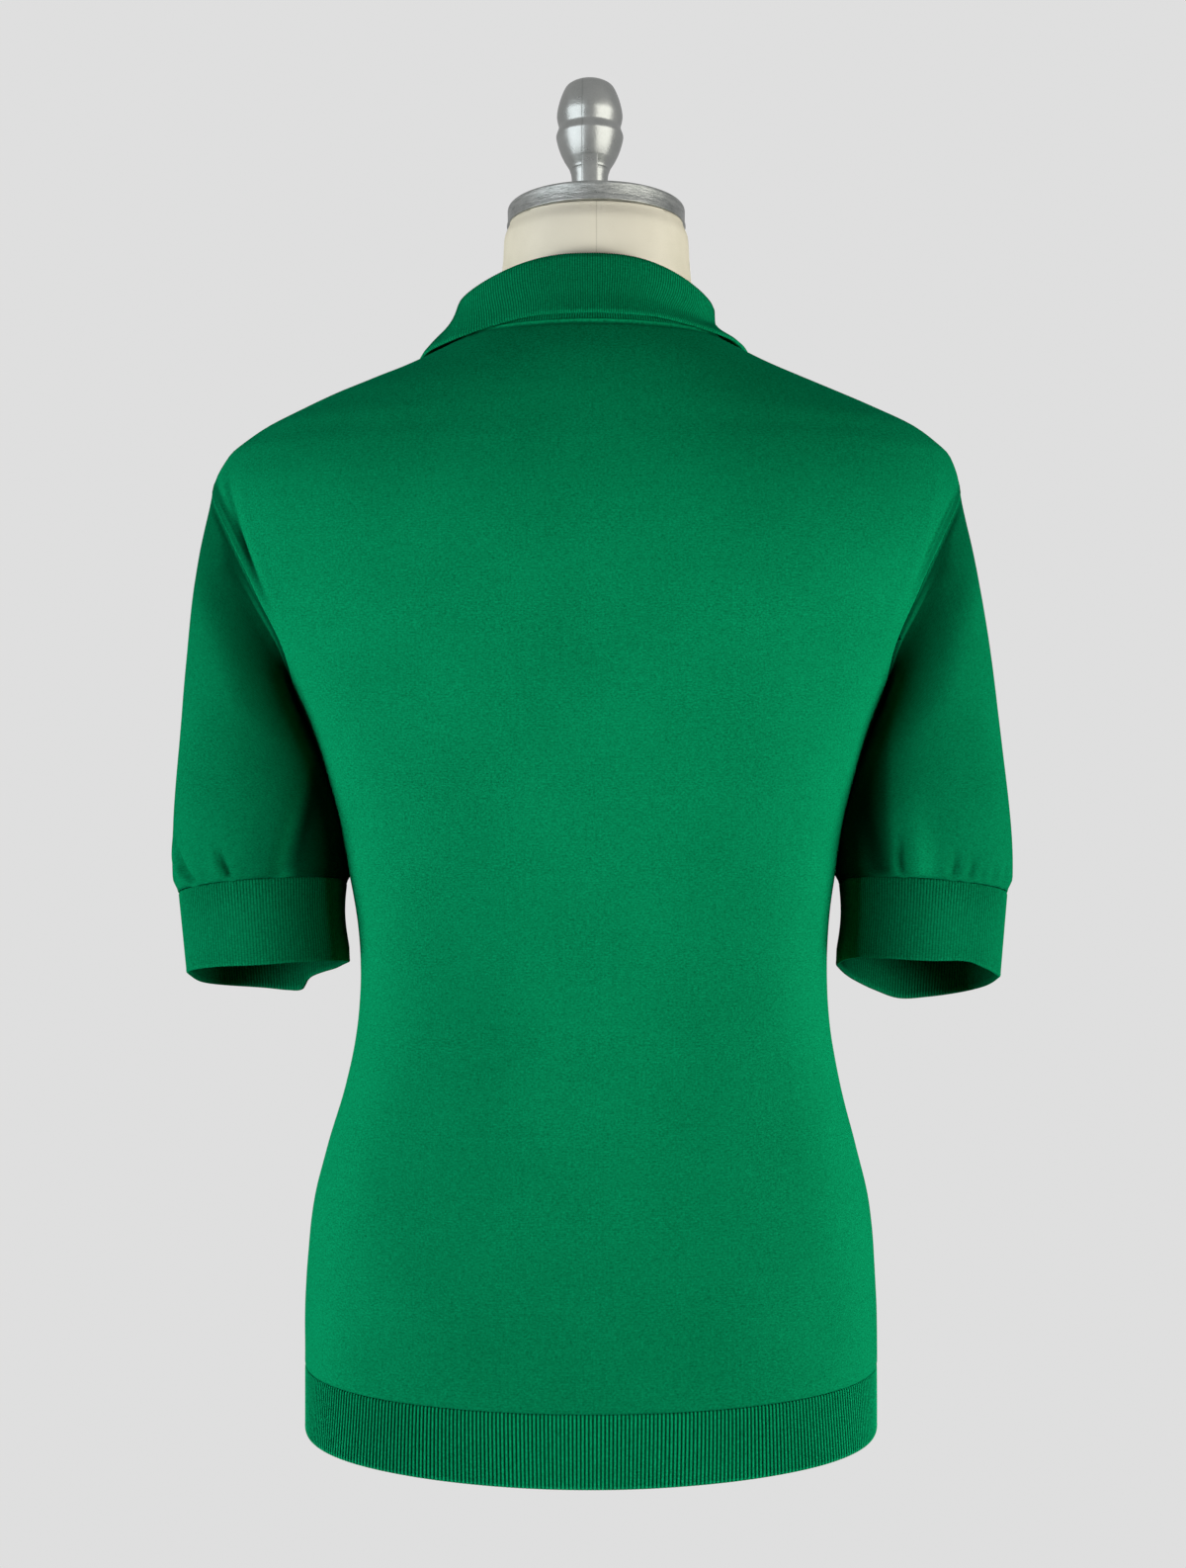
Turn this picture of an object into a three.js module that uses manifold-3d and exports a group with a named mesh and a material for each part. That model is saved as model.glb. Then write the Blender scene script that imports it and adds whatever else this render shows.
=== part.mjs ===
import * as THREE from 'three';
import { mergeVertices } from 'three/addons/utils/BufferGeometryUtils.js';
import Module from 'manifold-3d';

// A knitted polo shirt on a limbless dress form with a metal neck cap and finial.
// Sizes are in millimetres. +Z is up, -Y is the front of the shirt and +X is the wearer's left.
// The origin is the middle of the form's flat base.

const wasm = await Module();
wasm.setup();
const { smoothstep } = THREE.MathUtils;

// Driving dimensions
const jerseyWall = 1.6;
const ribWall = 2;
const seamGap = 0.3;
const hemBottom = 9;
const hemTop = 47;
const neckLevel = 668;
const sleeveClearance = 2.4;
const collarFoldRadius = 2.3;
const collarEndTurn = 176.5;
const placketWidth = 30;
const placketBottom = 470;
const placketSlotWidth = 25;
const placketSlotBottom = 480;
const buttonRadius = 5.8;
const buttonHeights = [489, 542, 596];
const capRadius = 54.8;
const capThickness = 12;
const capTilt = THREE.MathUtils.degToRad(4);
const capBase = new THREE.Vector3(-2, -7, 739.2);
const finialHeight = 81;
const finialFootRadius = 10.5;
const keyWidth = 10;
const keyHeight = 30;

// The outside of the shirt's body, as rings round the form from the hem to the neck seam.
// side: height at the side, width: half width, back and front: depths from the middle,
// backRise and frontRise: height added at the centre back and front, square: 2 is an ellipse
// and more is boxier, lean: sideways place of the ring's middle
const bodyRings = [
  { side: 9, width: 173.4, back: 116.5, front: 106, backRise: -8, frontRise: -7, square: 2.6, lean: 1.2 },
  { side: 47, width: 173.8, back: 119, front: 108.5, backRise: -3, frontRise: -3, square: 2.35, lean: 1.2 },
  { side: 90, width: 173.6, back: 119, front: 110, backRise: 0, frontRise: 0, square: 2.25, lean: 1.2 },
  { side: 141, width: 169.4, back: 113, front: 109, backRise: 0, frontRise: 0, square: 2.2, lean: 1 },
  { side: 178, width: 161, back: 105.5, front: 106.5, backRise: 0, frontRise: 0, square: 2.2, lean: 0.8 },
  { side: 214, width: 151, back: 98, front: 104, backRise: 0, frontRise: 0, square: 2.2, lean: 0 },
  { side: 250, width: 144.2, back: 92.5, front: 102.5, backRise: 0, frontRise: 0, square: 2.2, lean: -0.4 },
  { side: 287, width: 142.4, back: 90.5, front: 103, backRise: 0, frontRise: 0, square: 2.2, lean: -0.4 },
  { side: 323, width: 145, back: 92, front: 106, backRise: 0, frontRise: 0, square: 2.2, lean: 0 },
  { side: 365, width: 153, back: 97, front: 111.5, backRise: 0, frontRise: 0, square: 2.2, lean: 1 },
  { side: 402, width: 161.8, back: 102.5, front: 116.5, backRise: 0, frontRise: 0, square: 2.25, lean: 1.2 },
  { side: 438, width: 173.6, back: 108, front: 120.5, backRise: 0, frontRise: 0, square: 2.3, lean: 1.6 },
  { side: 475, width: 191, back: 111.5, front: 122, backRise: 0, frontRise: 0, square: 2.3, lean: 2.5 },
  { side: 510, width: 212, back: 112.5, front: 121.5, backRise: 0, frontRise: -2, square: 2.3, lean: 3.5 },
  { side: 545, width: 225, back: 110.5, front: 119, backRise: 0, frontRise: -8, square: 2.25, lean: 4 },
  { side: 575, width: 228, back: 107, front: 115, backRise: 0, frontRise: -16, square: 2.15, lean: 4 },
  { side: 596, width: 220.3, back: 102.5, front: 110.5, backRise: 0, frontRise: -25, square: 2.05, lean: 2 },
  { side: 605, width: 211, back: 99.5, front: 108, backRise: 0, frontRise: -29, square: 2, lean: 1.3 },
  { side: 614, width: 198, back: 96.5, front: 105, backRise: 0, frontRise: -33, square: 2, lean: 1 },
  { side: 623, width: 179.6, back: 93.5, front: 102, backRise: 0, frontRise: -37, square: 1.95, lean: 1.4 },
  { side: 632, width: 159.5, back: 89.5, front: 98.5, backRise: 0, frontRise: -41, square: 1.95, lean: 2 },
  { side: 641, width: 137.5, back: 85, front: 94.5, backRise: 0, frontRise: -45, square: 1.95, lean: 1.6 },
  { side: 650, width: 115, back: 79.5, front: 90, backRise: 0, frontRise: -49, square: 2, lean: 1.2 },
  { side: 659, width: 95.5, back: 72.5, front: 85, backRise: 0, frontRise: -53, square: 2.05, lean: 1 },
  { side: 668, width: 78, back: 64, front: 80, backRise: 1, frontRise: -56, square: 2.05, lean: 1 },
];

// How far the form lies inside the cloth: loose below, resting at the shoulders.
const formGaps = [
  { level: 9, gap: 17 },
  { level: 30, gap: 9 },
  { level: 60, gap: 6 },
  { level: 250, gap: 4 },
  { level: 440, gap: 4 },
  { level: 560, gap: 5 },
  { level: 605, gap: 2 },
  { level: 630, gap: 0.85 },
  { level: 668, gap: 0.85 },
];

// The form's neck above the shirt's neck seam, as rings like the body's.
const neckRings = [
  { side: 673, width: 69, back: 56.5, front: 67.5, backRise: 3, frontRise: -45, square: 2.05, lean: -0.5 },
  { side: 683, width: 63, back: 54, front: 63, backRise: 2, frontRise: -33, square: 2, lean: -1 },
  { side: 698, width: 59.5, back: 54, front: 61.5, backRise: 1, frontRise: -19, square: 2, lean: -1.5 },
  { side: 715, width: 57.2, back: 51.5, front: 61.5, backRise: 0, frontRise: -8, square: 2, lean: -2 },
  { side: 730, width: 56.3, back: 50, front: 62, backRise: 0, frontRise: -3, square: 2, lean: -2 },
  { side: 752, width: 54, back: 46.5, front: 61.5, backRise: 0, frontRise: 0, square: 2, lean: -2 },
];

// The armhole, a closed curve on the body's rings at each side.
const armhole = { bottom: 445, top: 575, back: 52, front: 60 };
const armholeMiddle = (armhole.top + armhole.bottom) / 2;
const armholeHalf = (armhole.top - armhole.bottom) / 2;
const armholeRows = 8;
const armholeGap = 0.45;

// How the sleeve hangs: the way it leaves the armhole (all round, more at the shoulder and more where
// the cloth lies flat at the back and front), how far it keeps that way, and its fullness.
const sleeveHang = {
  out: 0.12, outAtShoulder: 0.13, outAtFlat: 0.55, inward: 0.12, liftAtFlat: 0.35,
  reach: 30, reachAtShoulder: 42, reachAtFlat: 6, endReach: 58, flare: 0.085, bulge: 2.5,
};

// The sleeve's end and the cuff's open end, as tilted rings: back and front are half depths,
// rises are heights added at the outer, back and front points.
const sleeveEnd = {
  x: 202.2, z: 334, width: 51.2, back: 49, front: 51, outerRise: -4, innerRise: 4, backRise: 7, frontRise: -13,
};
const cuffEnds = {
  left: {
    x: 199.3, z: 284, width: 50.2, back: 47, front: 50, outerRise: -4, innerRise: 4, backRise: 8, frontRise: -17,
  },
  right: {
    x: 199.3, z: 283, width: 50.2, back: 47, front: 52, outerRise: -5, innerRise: 4, backRise: 9, frontRise: -22,
  },
};

// Soft folds that hang down the sleeves and end at the cuff seam.
// turn: degrees round the sleeve, 90 outer, 0 back; start: share of the sleeve where the fold begins
const sleeveFolds = {
  left: [
    { turn: 78, depth: 2.6, width: 13, start: 0.55 },
    { turn: 33, depth: 2.2, width: 9, start: 0.7 },
    { turn: -18, depth: 5, width: 22, start: 0.3 },
    { turn: 140, depth: 2.6, width: 14, start: 0.6 },
    { turn: 205, depth: 3, width: 16, start: 0.5 },
  ],
  right: [
    { turn: 60, depth: 1.8, width: 9, start: 0.7 },
    { turn: 24, depth: 2.4, width: 10, start: 0.6 },
    { turn: -14, depth: 3.6, width: 18, start: 0.35 },
    { turn: 128, depth: 2.6, width: 14, start: 0.6 },
    { turn: 190, depth: 3, width: 16, start: 0.5 },
  ],
};

// The collar's fold line: half widths, depths and heights at the side, back and front.
const collarFold = {
  widthLeft: 78.6, widthRight: 72, back: 60, front: 81,
  sideLeft: 690, sideRight: 688, backHeight: 707, frontHeight: 629, roundness: 3,
};

// How far the leaf of the collar follows the shoulder at its edge, and on the left falls straight.
const collarDrape = {
  left: 0.15, middle: 0.45, right: 0.8, straightLeft: 0.6, reach: 0.45, reachRight: 0.58,
};

// The collar's lower edge, from the centre back (share 0) to the point (share 1).
// turn: degrees from the centre back, level: body ring that it lies over, lift: height above the cloth
const collarEdge = [
  { share: 0, turn: 0, levelLeft: 668, levelRight: 668, lift: 3.6 },
  { share: 0.2, turn: 31, levelLeft: 667.3, levelRight: 667.6, lift: 2.6 },
  { share: 0.33, turn: 51, levelLeft: 664, levelRight: 665.5, lift: 2.2 },
  { share: 0.45, turn: 69, levelLeft: 659.5, levelRight: 662.5, lift: 2 },
  { share: 0.58, turn: 90, levelLeft: 655.5, levelRight: 660, lift: 2 },
  { share: 0.75, turn: 115, levelLeft: 648, levelRight: 650.5, lift: 3 },
  { share: 0.88, turn: 135, levelLeft: 636, levelRight: 637, lift: 4 },
  { share: 1, turn: 154, levelLeft: 620, levelRight: 620, lift: 4.4 },
];

// The finial's outline: depth below its top and radius there.
const finialOutline = [
  { below: 0.4, radius: 6.2 },
  { below: 1.5, radius: 9.9 },
  { below: 4, radius: 14.2 },
  { below: 7, radius: 16.5 },
  { below: 11.3, radius: 17.8 },
  { below: 14.5, radius: 18.8 },
  { below: 18.6, radius: 19.8 },
  { below: 23, radius: 20.3 },
  { below: 26.5, radius: 19.8 },
  { below: 29.4, radius: 19.1 },
  { below: 31.4, radius: 19.4 },
  { below: 35.4, radius: 20.7 },
  { below: 38.1, radius: 20.4 },
  { below: 42, radius: 19.4 },
  { below: 46, radius: 18 },
  { below: 50.3, radius: 16 },
  { below: 52.8, radius: 14.5 },
  { below: 55.4, radius: 12.9 },
  { below: 58, radius: 11.7 },
  { below: 62, radius: 11.1 },
];

const materials = {
  jersey: new THREE.MeshStandardMaterial({ color: 0x057a4c, roughness: 0.75, metalness: 0 }),
  rib: new THREE.MeshStandardMaterial({ color: 0x056a40, roughness: 0.8, metalness: 0 }),
  button: new THREE.MeshStandardMaterial({ color: 0x0a6b45, roughness: 0.3, metalness: 0 }),
  linen: new THREE.MeshStandardMaterial({ color: 0xd7d0bb, roughness: 0.9, metalness: 0 }),
  metal: new THREE.MeshStandardMaterial({ color: 0xa4a8a5, roughness: 0.35, metalness: 1 }),
};

const shirt = new THREE.Group();

function addPiece(name, geometry, material) {
  const mesh = new THREE.Mesh(geometry, material);
  mesh.name = name;
  shirt.add(mesh);
  return mesh;
}

// Curves through tables

function slopeAt(table, key, column, i) {
  const before = table[Math.max(i - 1, 0)];
  const after = table[Math.min(i + 1, table.length - 1)];
  return (after[column] - before[column]) / (after[key] - before[key]);
}

// One row of a table at any value of its key, each column on a smooth curve through the rows.
function smoothRow(table, key, at) {
  let i = 0;
  while (i < table.length - 2 && at > table[i + 1][key]) {
    i += 1;
  }
  const span = table[i + 1][key] - table[i][key];
  const t = THREE.MathUtils.clamp((at - table[i][key]) / span, 0, 1);
  const row = {};
  for (const column of Object.keys(table[0])) {
    const from = table[i][column];
    const to = table[i + 1][column];
    const startSlope = slopeAt(table, key, column, i) * span;
    const endSlope = slopeAt(table, key, column, i + 1) * span;
    row[column] = (1 + 2 * t) * (1 - t) ** 2 * from + t * (1 - t) ** 2 * startSlope
      + t * t * (3 - 2 * t) * to + t * t * (t - 1) * endSlope;
  }
  return row;
}

function spread(from, to, count) {
  return Array.from({ length: count + 1 }, (_, i) => from + ((to - from) * i) / count);
}

// Angles between two places on a ring, closer together at the sides, where the ring turns faster.
const ringFlatness = 0.55;

function spreadRound(from, to, count) {
  const quarter = (angle) => Math.round(angle / (Math.PI / 2)) * (Math.PI / 2);
  const warp = (angle, ratio) => {
    const base = quarter(angle);
    const isSide = Math.round(base / (Math.PI / 2)) % 2 === 0;
    return base + Math.atan(Math.tan(angle - base) * (isSide ? ratio : 1 / ratio));
  };
  return spread(warp(from, 1 / ringFlatness), warp(to, 1 / ringFlatness), count)
    .map((angle) => warp(angle, ringFlatness));
}

function bezier(a, b, c, d, t) {
  const point = new THREE.Vector3();
  point.addScaledVector(a, (1 - t) ** 3);
  point.addScaledVector(b, 3 * t * (1 - t) ** 2);
  point.addScaledVector(c, 3 * t * t * (1 - t));
  return point.addScaledVector(d, t ** 3);
}

// The body's surface: angle 0 is the wearer's left side, a quarter turn on is the centre back.

function ringPoint(ring, angle) {
  const across = Math.cos(angle);
  const behind = Math.sin(angle);
  const depth = behind >= 0 ? ring.back : ring.front;
  const reach = Math.abs(across / ring.width) ** ring.square + Math.abs(behind / depth) ** ring.square;
  const radius = reach ** (-1 / ring.square);
  const rise = (behind >= 0 ? ring.backRise : ring.frontRise) * behind * behind;
  return new THREE.Vector3(ring.lean + radius * across, radius * behind, ring.side + rise);
}

function bodyPoint(angle, level) {
  return ringPoint(smoothRow(bodyRings, 'side', level), angle);
}

function bodyFrame(angle, level) {
  const turnStep = 0.004;
  const levelStep = 0.4;
  const upper = Math.min(level + levelStep, neckLevel);
  const around = bodyPoint(angle + turnStep, level).sub(bodyPoint(angle - turnStep, level));
  const up = bodyPoint(angle, upper).sub(bodyPoint(angle, upper - 2 * levelStep)).normalize();
  const normal = around.cross(up).normalize();
  return { normal, up };
}

function bodyOut(angle, level, distance) {
  return bodyPoint(angle, level).addScaledVector(bodyFrame(angle, level).normal, distance);
}

// Moves a point out along the body's normal until it lies a given height above the body.
function keepAbove(point, height) {
  const top = bodyRings[bodyRings.length - 1];
  const angle = Math.atan2(point.y, point.x - top.lean);
  const sine = Math.sin(angle);
  let level = point.z;
  for (let i = 0; i < 12; i += 1) {
    const ring = smoothRow(bodyRings, 'side', Math.min(level, neckLevel));
    level = point.z - (sine >= 0 ? ring.backRise : ring.frontRise) * sine * sine;
  }
  if (level > neckLevel) {
    return point;
  }
  const { normal } = bodyFrame(angle, level);
  const above = point.clone().sub(bodyPoint(angle, level)).dot(normal);
  return point.clone().addScaledVector(normal, Math.max(height - above, 0));
}

// The ring angle where a given depth, or a given sideways place at the front, is reached.
function angleAtDepth(level, depthOut) {
  const ring = smoothRow(bodyRings, 'side', level);
  const depth = depthOut >= 0 ? ring.back : ring.front;
  const across = ring.width * (1 - Math.abs(depthOut / depth) ** ring.square) ** (1 / ring.square);
  return Math.atan2(depthOut, across);
}

function angleAtFront(level, x) {
  const ring = smoothRow(bodyRings, 'side', level);
  const offset = x - ring.lean;
  const depth = ring.front * (1 - Math.abs(offset / ring.width) ** ring.square) ** (1 / ring.square);
  return Math.atan2(-depth, offset);
}

// The armhole's angle on the body at a level, on the back or the front half.
function armholeAngle(level, isBack) {
  const height = (level - armholeMiddle) / armholeHalf;
  if (Math.abs(height) >= 1) {
    return 0;
  }
  const share = Math.sqrt(1 - height * height);
  return Math.abs(angleAtDepth(level, isBack ? armhole.back * share : -armhole.front * share));
}

// Solids from grids of points

// A wall between an outer and an inner grid of points. Columns run anticlockwise and rows run up.
function wallGeometry(outer, inner, isRing) {
  const rows = outer.length;
  const columns = outer[0].length;
  const positions = [];
  for (const point of [...outer.flat(), ...inner.flat()]) {
    positions.push(point.x, point.y, point.z);
  }
  const innerStart = rows * columns;
  const index = [];
  const quad = (a, b, c, d) => index.push(a, b, c, a, c, d);
  const at = (row, column) => row * columns + (column % columns);
  const inside = (row, column) => innerStart + at(row, column);
  const last = columns - 1;
  const lastColumn = isRing ? columns : columns - 1;
  for (let r = 0; r < rows - 1; r += 1) {
    for (let c = 0; c < lastColumn; c += 1) {
      quad(at(r, c), at(r, c + 1), at(r + 1, c + 1), at(r + 1, c));
      quad(inside(r, c), inside(r + 1, c), inside(r + 1, c + 1), inside(r, c + 1));
    }
  }
  for (let c = 0; c < lastColumn; c += 1) {
    const top = rows - 1;
    quad(at(0, c + 1), at(0, c), inside(0, c), inside(0, c + 1));
    quad(at(top, c), at(top, c + 1), inside(top, c + 1), inside(top, c));
  }
  if (!isRing) {
    for (let r = 0; r < rows - 1; r += 1) {
      quad(at(r, 0), at(r + 1, 0), inside(r + 1, 0), inside(r, 0));
      quad(at(r + 1, last), at(r, last), inside(r, last), inside(r + 1, last));
    }
  }
  const geometry = new THREE.BufferGeometry();
  geometry.setAttribute('position', new THREE.Float32BufferAttribute(positions, 3));
  geometry.setIndex(index);
  return geometry;
}

// A solid filled between stacked rings of points, closed at the bottom and the top.
function stackGeometry(rings) {
  const columns = rings[0].length;
  const positions = [];
  const centres = [rings[0], rings[rings.length - 1]].map((ring) => {
    const centre = ring.reduce((sum, point) => sum.add(point), new THREE.Vector3());
    return centre.divideScalar(columns);
  });
  for (const point of [...rings.flat(), ...centres]) {
    positions.push(point.x, point.y, point.z);
  }
  const index = [];
  const bottomCentre = rings.length * columns;
  for (let c = 0; c < columns; c += 1) {
    const next = (c + 1) % columns;
    for (let r = 0; r < rings.length - 1; r += 1) {
      const a = r * columns + c;
      const b = r * columns + next;
      index.push(a, b, b + columns, a, b + columns, a + columns);
    }
    const top = (rings.length - 1) * columns;
    index.push(bottomCentre, next, c, bottomCentre + 1, top + c, top + next);
  }
  const geometry = new THREE.BufferGeometry();
  geometry.setAttribute('position', new THREE.Float32BufferAttribute(positions, 3));
  geometry.setIndex(index);
  return geometry;
}

function toSolid(geometry) {
  const bare = new THREE.BufferGeometry();
  bare.setAttribute('position', geometry.getAttribute('position'));
  if (geometry.index) {
    bare.setIndex(geometry.index);
  }
  const merged = mergeVertices(bare, 1e-3);
  return new wasm.Manifold(new wasm.Mesh({
    numProp: 3,
    vertProperties: new Float32Array(merged.attributes.position.array),
    triVerts: new Uint32Array(merged.index.array),
  }));
}

function fromSolid(solid) {
  const mesh = solid.getMesh();
  const geometry = new THREE.BufferGeometry();
  geometry.setAttribute('position', new THREE.BufferAttribute(new Float32Array(mesh.vertProperties), 3));
  geometry.setIndex(new THREE.BufferAttribute(new Uint32Array(mesh.triVerts), 1));
  return geometry;
}

function boxSolid(low, high) {
  const size = new THREE.Vector3().subVectors(high, low);
  const box = new THREE.BoxGeometry(size.x, size.y, size.z);
  const middle = low.clone().add(high).divideScalar(2);
  box.translate(middle.x, middle.y, middle.z);
  return toSolid(box);
}

// The body panels and hem

const panelColumns = 18;
const sideLevels = spread(hemTop + seamGap, armhole.bottom, 9);
const armholeLevels = spread(-90, 90, armholeRows).slice(1).map((degrees) => {
  return armholeMiddle + armholeHalf * Math.sin(THREE.MathUtils.degToRad(degrees));
});
const shoulderLevels = [586, 596, 605, 614, 623, 632, 641, 650, 659, neckLevel];
const panelLevels = [...sideLevels, ...armholeLevels, ...shoulderLevels];

// The angles of one row of a panel, from edge to edge, with half the seam gap kept at each edge.
function panelAngles(level, isBack) {
  const edge = armholeAngle(level, isBack);
  const halfGap = seamGap / 2 / smoothRow(bodyRings, 'side', level).width;
  const from = (isBack ? 0 : Math.PI) + edge + halfGap;
  const to = (isBack ? Math.PI : 2 * Math.PI) - edge - halfGap;
  return spreadRound(from, to, panelColumns);
}

function panelGeometry(levels, isBack, thickness) {
  const rows = levels.map((level) => panelAngles(level, isBack).map((angle) => ({ angle, level })));
  const outer = rows.map((row) => row.map(({ angle, level }) => bodyPoint(angle, level)));
  const inner = rows.map((row) => row.map(({ angle, level }) => bodyOut(angle, level, -thickness)));
  return wallGeometry(outer, inner, false);
}

addPiece('back_panel', panelGeometry(panelLevels, true, jerseyWall), materials.jersey);

// The front is cut open at the neck for the placket, and the under band fills the cut.
const wholeFront = toSolid(panelGeometry(panelLevels, false, jerseyWall));
const slotHalf = placketSlotWidth / 2;
const slotCut = boxSolid(
  new THREE.Vector3(-slotHalf, -200, placketSlotBottom),
  new THREE.Vector3(slotHalf, -20, neckLevel),
);
const underBandSpace = boxSolid(
  new THREE.Vector3(-slotHalf + seamGap, -200, placketSlotBottom + seamGap),
  new THREE.Vector3(slotHalf - seamGap, -20, neckLevel),
);
addPiece('front_panel', fromSolid(wholeFront.subtract(slotCut)), materials.jersey);
addPiece('placket_under', fromSolid(wholeFront.intersect(underBandSpace)), materials.rib);

const hemLevels = spread(hemBottom, hemTop, 2);
addPiece('hem_back', panelGeometry(hemLevels, true, ribWall), materials.rib);
addPiece('hem_front', panelGeometry(hemLevels, false, ribWall), materials.rib);

// The upper placket band lies on the front, made from the front's points moved out.
function placketPoint(x, level, out) {
  return bodyOut(angleAtFront(level, x), level, out);
}

const placketTopLevel = neckLevel - 0.6;
const placketLevels = [placketBottom, 490, 510, 530, 550, 575, 600, 623, 641, 655, placketTopLevel];
const placketPlaces = spread(-placketWidth / 2, placketWidth / 2, 4);
const bandGap = seamGap + 0.25;
addPiece('placket_upper', wallGeometry(
  placketLevels.map((level) => placketPlaces.map((x) => placketPoint(x, level, bandGap + jerseyWall))),
  placketLevels.map((level) => placketPlaces.map((x) => placketPoint(x, level, bandGap))),
  false,
), materials.rib);

// Buttons, dished on top with four thread holes, seated on the placket.
function buttonGeometry() {
  const thickness = 2.6;
  const rimWidth = 1.6;
  const dish = 0.7;
  const edge = 0.5;
  const outline = [
    [0, 0],
    [buttonRadius - edge, 0],
    [buttonRadius, edge],
    [buttonRadius, thickness - edge],
    [buttonRadius - edge, thickness],
    [buttonRadius - rimWidth, thickness],
    [buttonRadius - rimWidth - dish, thickness - dish],
    [0, thickness - dish],
  ].map(([radius, height]) => new THREE.Vector2(radius, height));
  let solid = toSolid(new THREE.LatheGeometry(outline, 16));
  const holeRadius = 0.75;
  const holePlace = 1.35;
  for (const sideX of [-1, 1]) {
    for (const sideZ of [-1, 1]) {
      const hole = new THREE.CylinderGeometry(holeRadius, holeRadius, 4 * thickness, 5);
      hole.translate(sideX * holePlace, 0, sideZ * holePlace);
      solid = solid.subtract(toSolid(hole));
    }
  }
  return fromSolid(solid);
}

// The level whose centre-front point lies at a height.
function levelAtFront(height) {
  let level = height;
  for (let i = 0; i < 20; i += 1) {
    level += height - bodyPoint(angleAtFront(level, 0), level).z;
  }
  return level;
}

buttonHeights.forEach((height, i) => {
  const level = levelAtFront(height);
  const angle = angleAtFront(level, 0);
  const { normal } = bodyFrame(angle, level);
  const button = addPiece(`button_${i + 1}`, buttonGeometry(), materials.button);
  const seat = bandGap + jerseyWall + seamGap + 0.1;
  button.position.copy(bodyPoint(angle, level).addScaledVector(normal, seat));
  button.quaternion.setFromUnitVectors(new THREE.Vector3(0, 1, 0), normal);
});

// Sleeves and cuffs. turn: 90 degrees is the outer side or shoulder, 0 the back, -90 the underarm.

// Moves a point out, away from the body's axis, until it is clear of the body.
function keepClear(point, clearance) {
  const ring = smoothRow(bodyRings, 'side', point.z);
  const depth = (point.y >= 0 ? ring.back : ring.front) + clearance;
  const across = (point.x - ring.lean) / (ring.width + clearance);
  const reach = Math.abs(across) ** ring.square + Math.abs(point.y / depth) ** ring.square;
  if (reach >= 1) {
    return point;
  }
  const grow = reach ** (-1 / ring.square);
  return new THREE.Vector3(ring.lean + (point.x - ring.lean) * grow, point.y * grow, point.z);
}

// A point of the armhole, and where the sleeve starts there: inside the hole beside the panel's
// edge, and over the panel's face at the underarm.
function armholeCorner(side, turn) {
  const level = armholeMiddle + armholeHalf * Math.sin(turn);
  const share = Math.cos(turn);
  const depthOut = share >= 0 ? armhole.back * share : armhole.front * share;
  const angle = angleAtDepth(level, depthOut);
  const sideAngle = side > 0 ? angle : Math.PI - angle;
  const point = bodyPoint(sideAngle, level);
  const { normal } = bodyFrame(sideAngle, level);
  const inward = bodyPoint(side > 0 ? 0 : Math.PI, armholeMiddle).sub(point);
  inward.addScaledVector(normal, -inward.dot(normal)).normalize();
  const over = Math.max(-Math.sin(turn), 0) ** 2;
  const away = inward.multiplyScalar(1 - over).addScaledVector(normal, over).normalize();
  return point.addScaledVector(away, armholeGap);
}

// The sleeve's edge runs straight between the panels' rows, as their edges do.
function armholePoint(side, turn) {
  const step = Math.PI / armholeRows;
  const low = Math.floor(turn / step) * step;
  const share = (turn - low) / step;
  return armholeCorner(side, low).lerp(armholeCorner(side, low + step), share);
}

function tiltedRing(ring, side, turn) {
  const outward = Math.sin(turn);
  const behind = Math.cos(turn);
  const rise = Math.abs(outward) * (outward >= 0 ? ring.outerRise : ring.innerRise)
    + Math.abs(behind) * (behind >= 0 ? ring.backRise : ring.frontRise);
  const y = behind * (behind >= 0 ? ring.back : ring.front);
  return new THREE.Vector3(side * (ring.x + ring.width * outward), y, ring.z + rise);
}

// Depth of the folds at a place on the sleeve, inward.
function foldDepth(side, turn, along) {
  const degrees = THREE.MathUtils.radToDeg(turn);
  let depth = 0;
  for (const fold of side > 0 ? sleeveFolds.left : sleeveFolds.right) {
    const away = ((degrees - fold.turn + 540) % 360) - 180;
    const grown = smoothstep(along, fold.start, 0.93);
    const closing = 1 - smoothstep(along, 0.93, 1);
    depth += fold.depth * grown * closing * Math.exp(-((away / fold.width) ** 2));
  }
  return depth;
}

// The sleeve's outside: each line starts at the armhole, turns down and ends at the cuff seam.
function sleeveSurface(side, turn, along) {
  const start = armholePoint(side, turn);
  const end = tiltedRing(sleeveEnd, side, turn);
  const hang = sleeveHang;
  const flat = Math.cos(turn) ** 2;
  const top = Math.max(Math.sin(turn), 0);
  const leave = new THREE.Vector3(
    side * (hang.out + hang.outAtShoulder * top + hang.outAtFlat * flat),
    -hang.inward * Math.cos(turn),
    -1 + hang.liftAtFlat * flat,
  ).normalize();
  const startReach = hang.reach + hang.reachAtShoulder * top * top + hang.reachAtFlat * flat;
  const arrive = new THREE.Vector3(side * hang.flare * Math.sin(turn), 0, 1).normalize();
  const point = bezier(
    start,
    start.clone().addScaledVector(leave, startReach),
    end.clone().addScaledVector(arrive, hang.endReach),
    end,
    along,
  );
  const fullness = smoothstep(along, 0.6, 0.9) * (1 - smoothstep(along, 0.9, 1));
  const outward = new THREE.Vector3(side * Math.sin(turn), Math.cos(turn), 0);
  point.addScaledVector(outward, hang.bulge * fullness - foldDepth(side, turn, along));
  const nearSeam = smoothstep(along, 0, 0.12);
  return keepClear(point, sleeveClearance * nearSeam);
}

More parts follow.
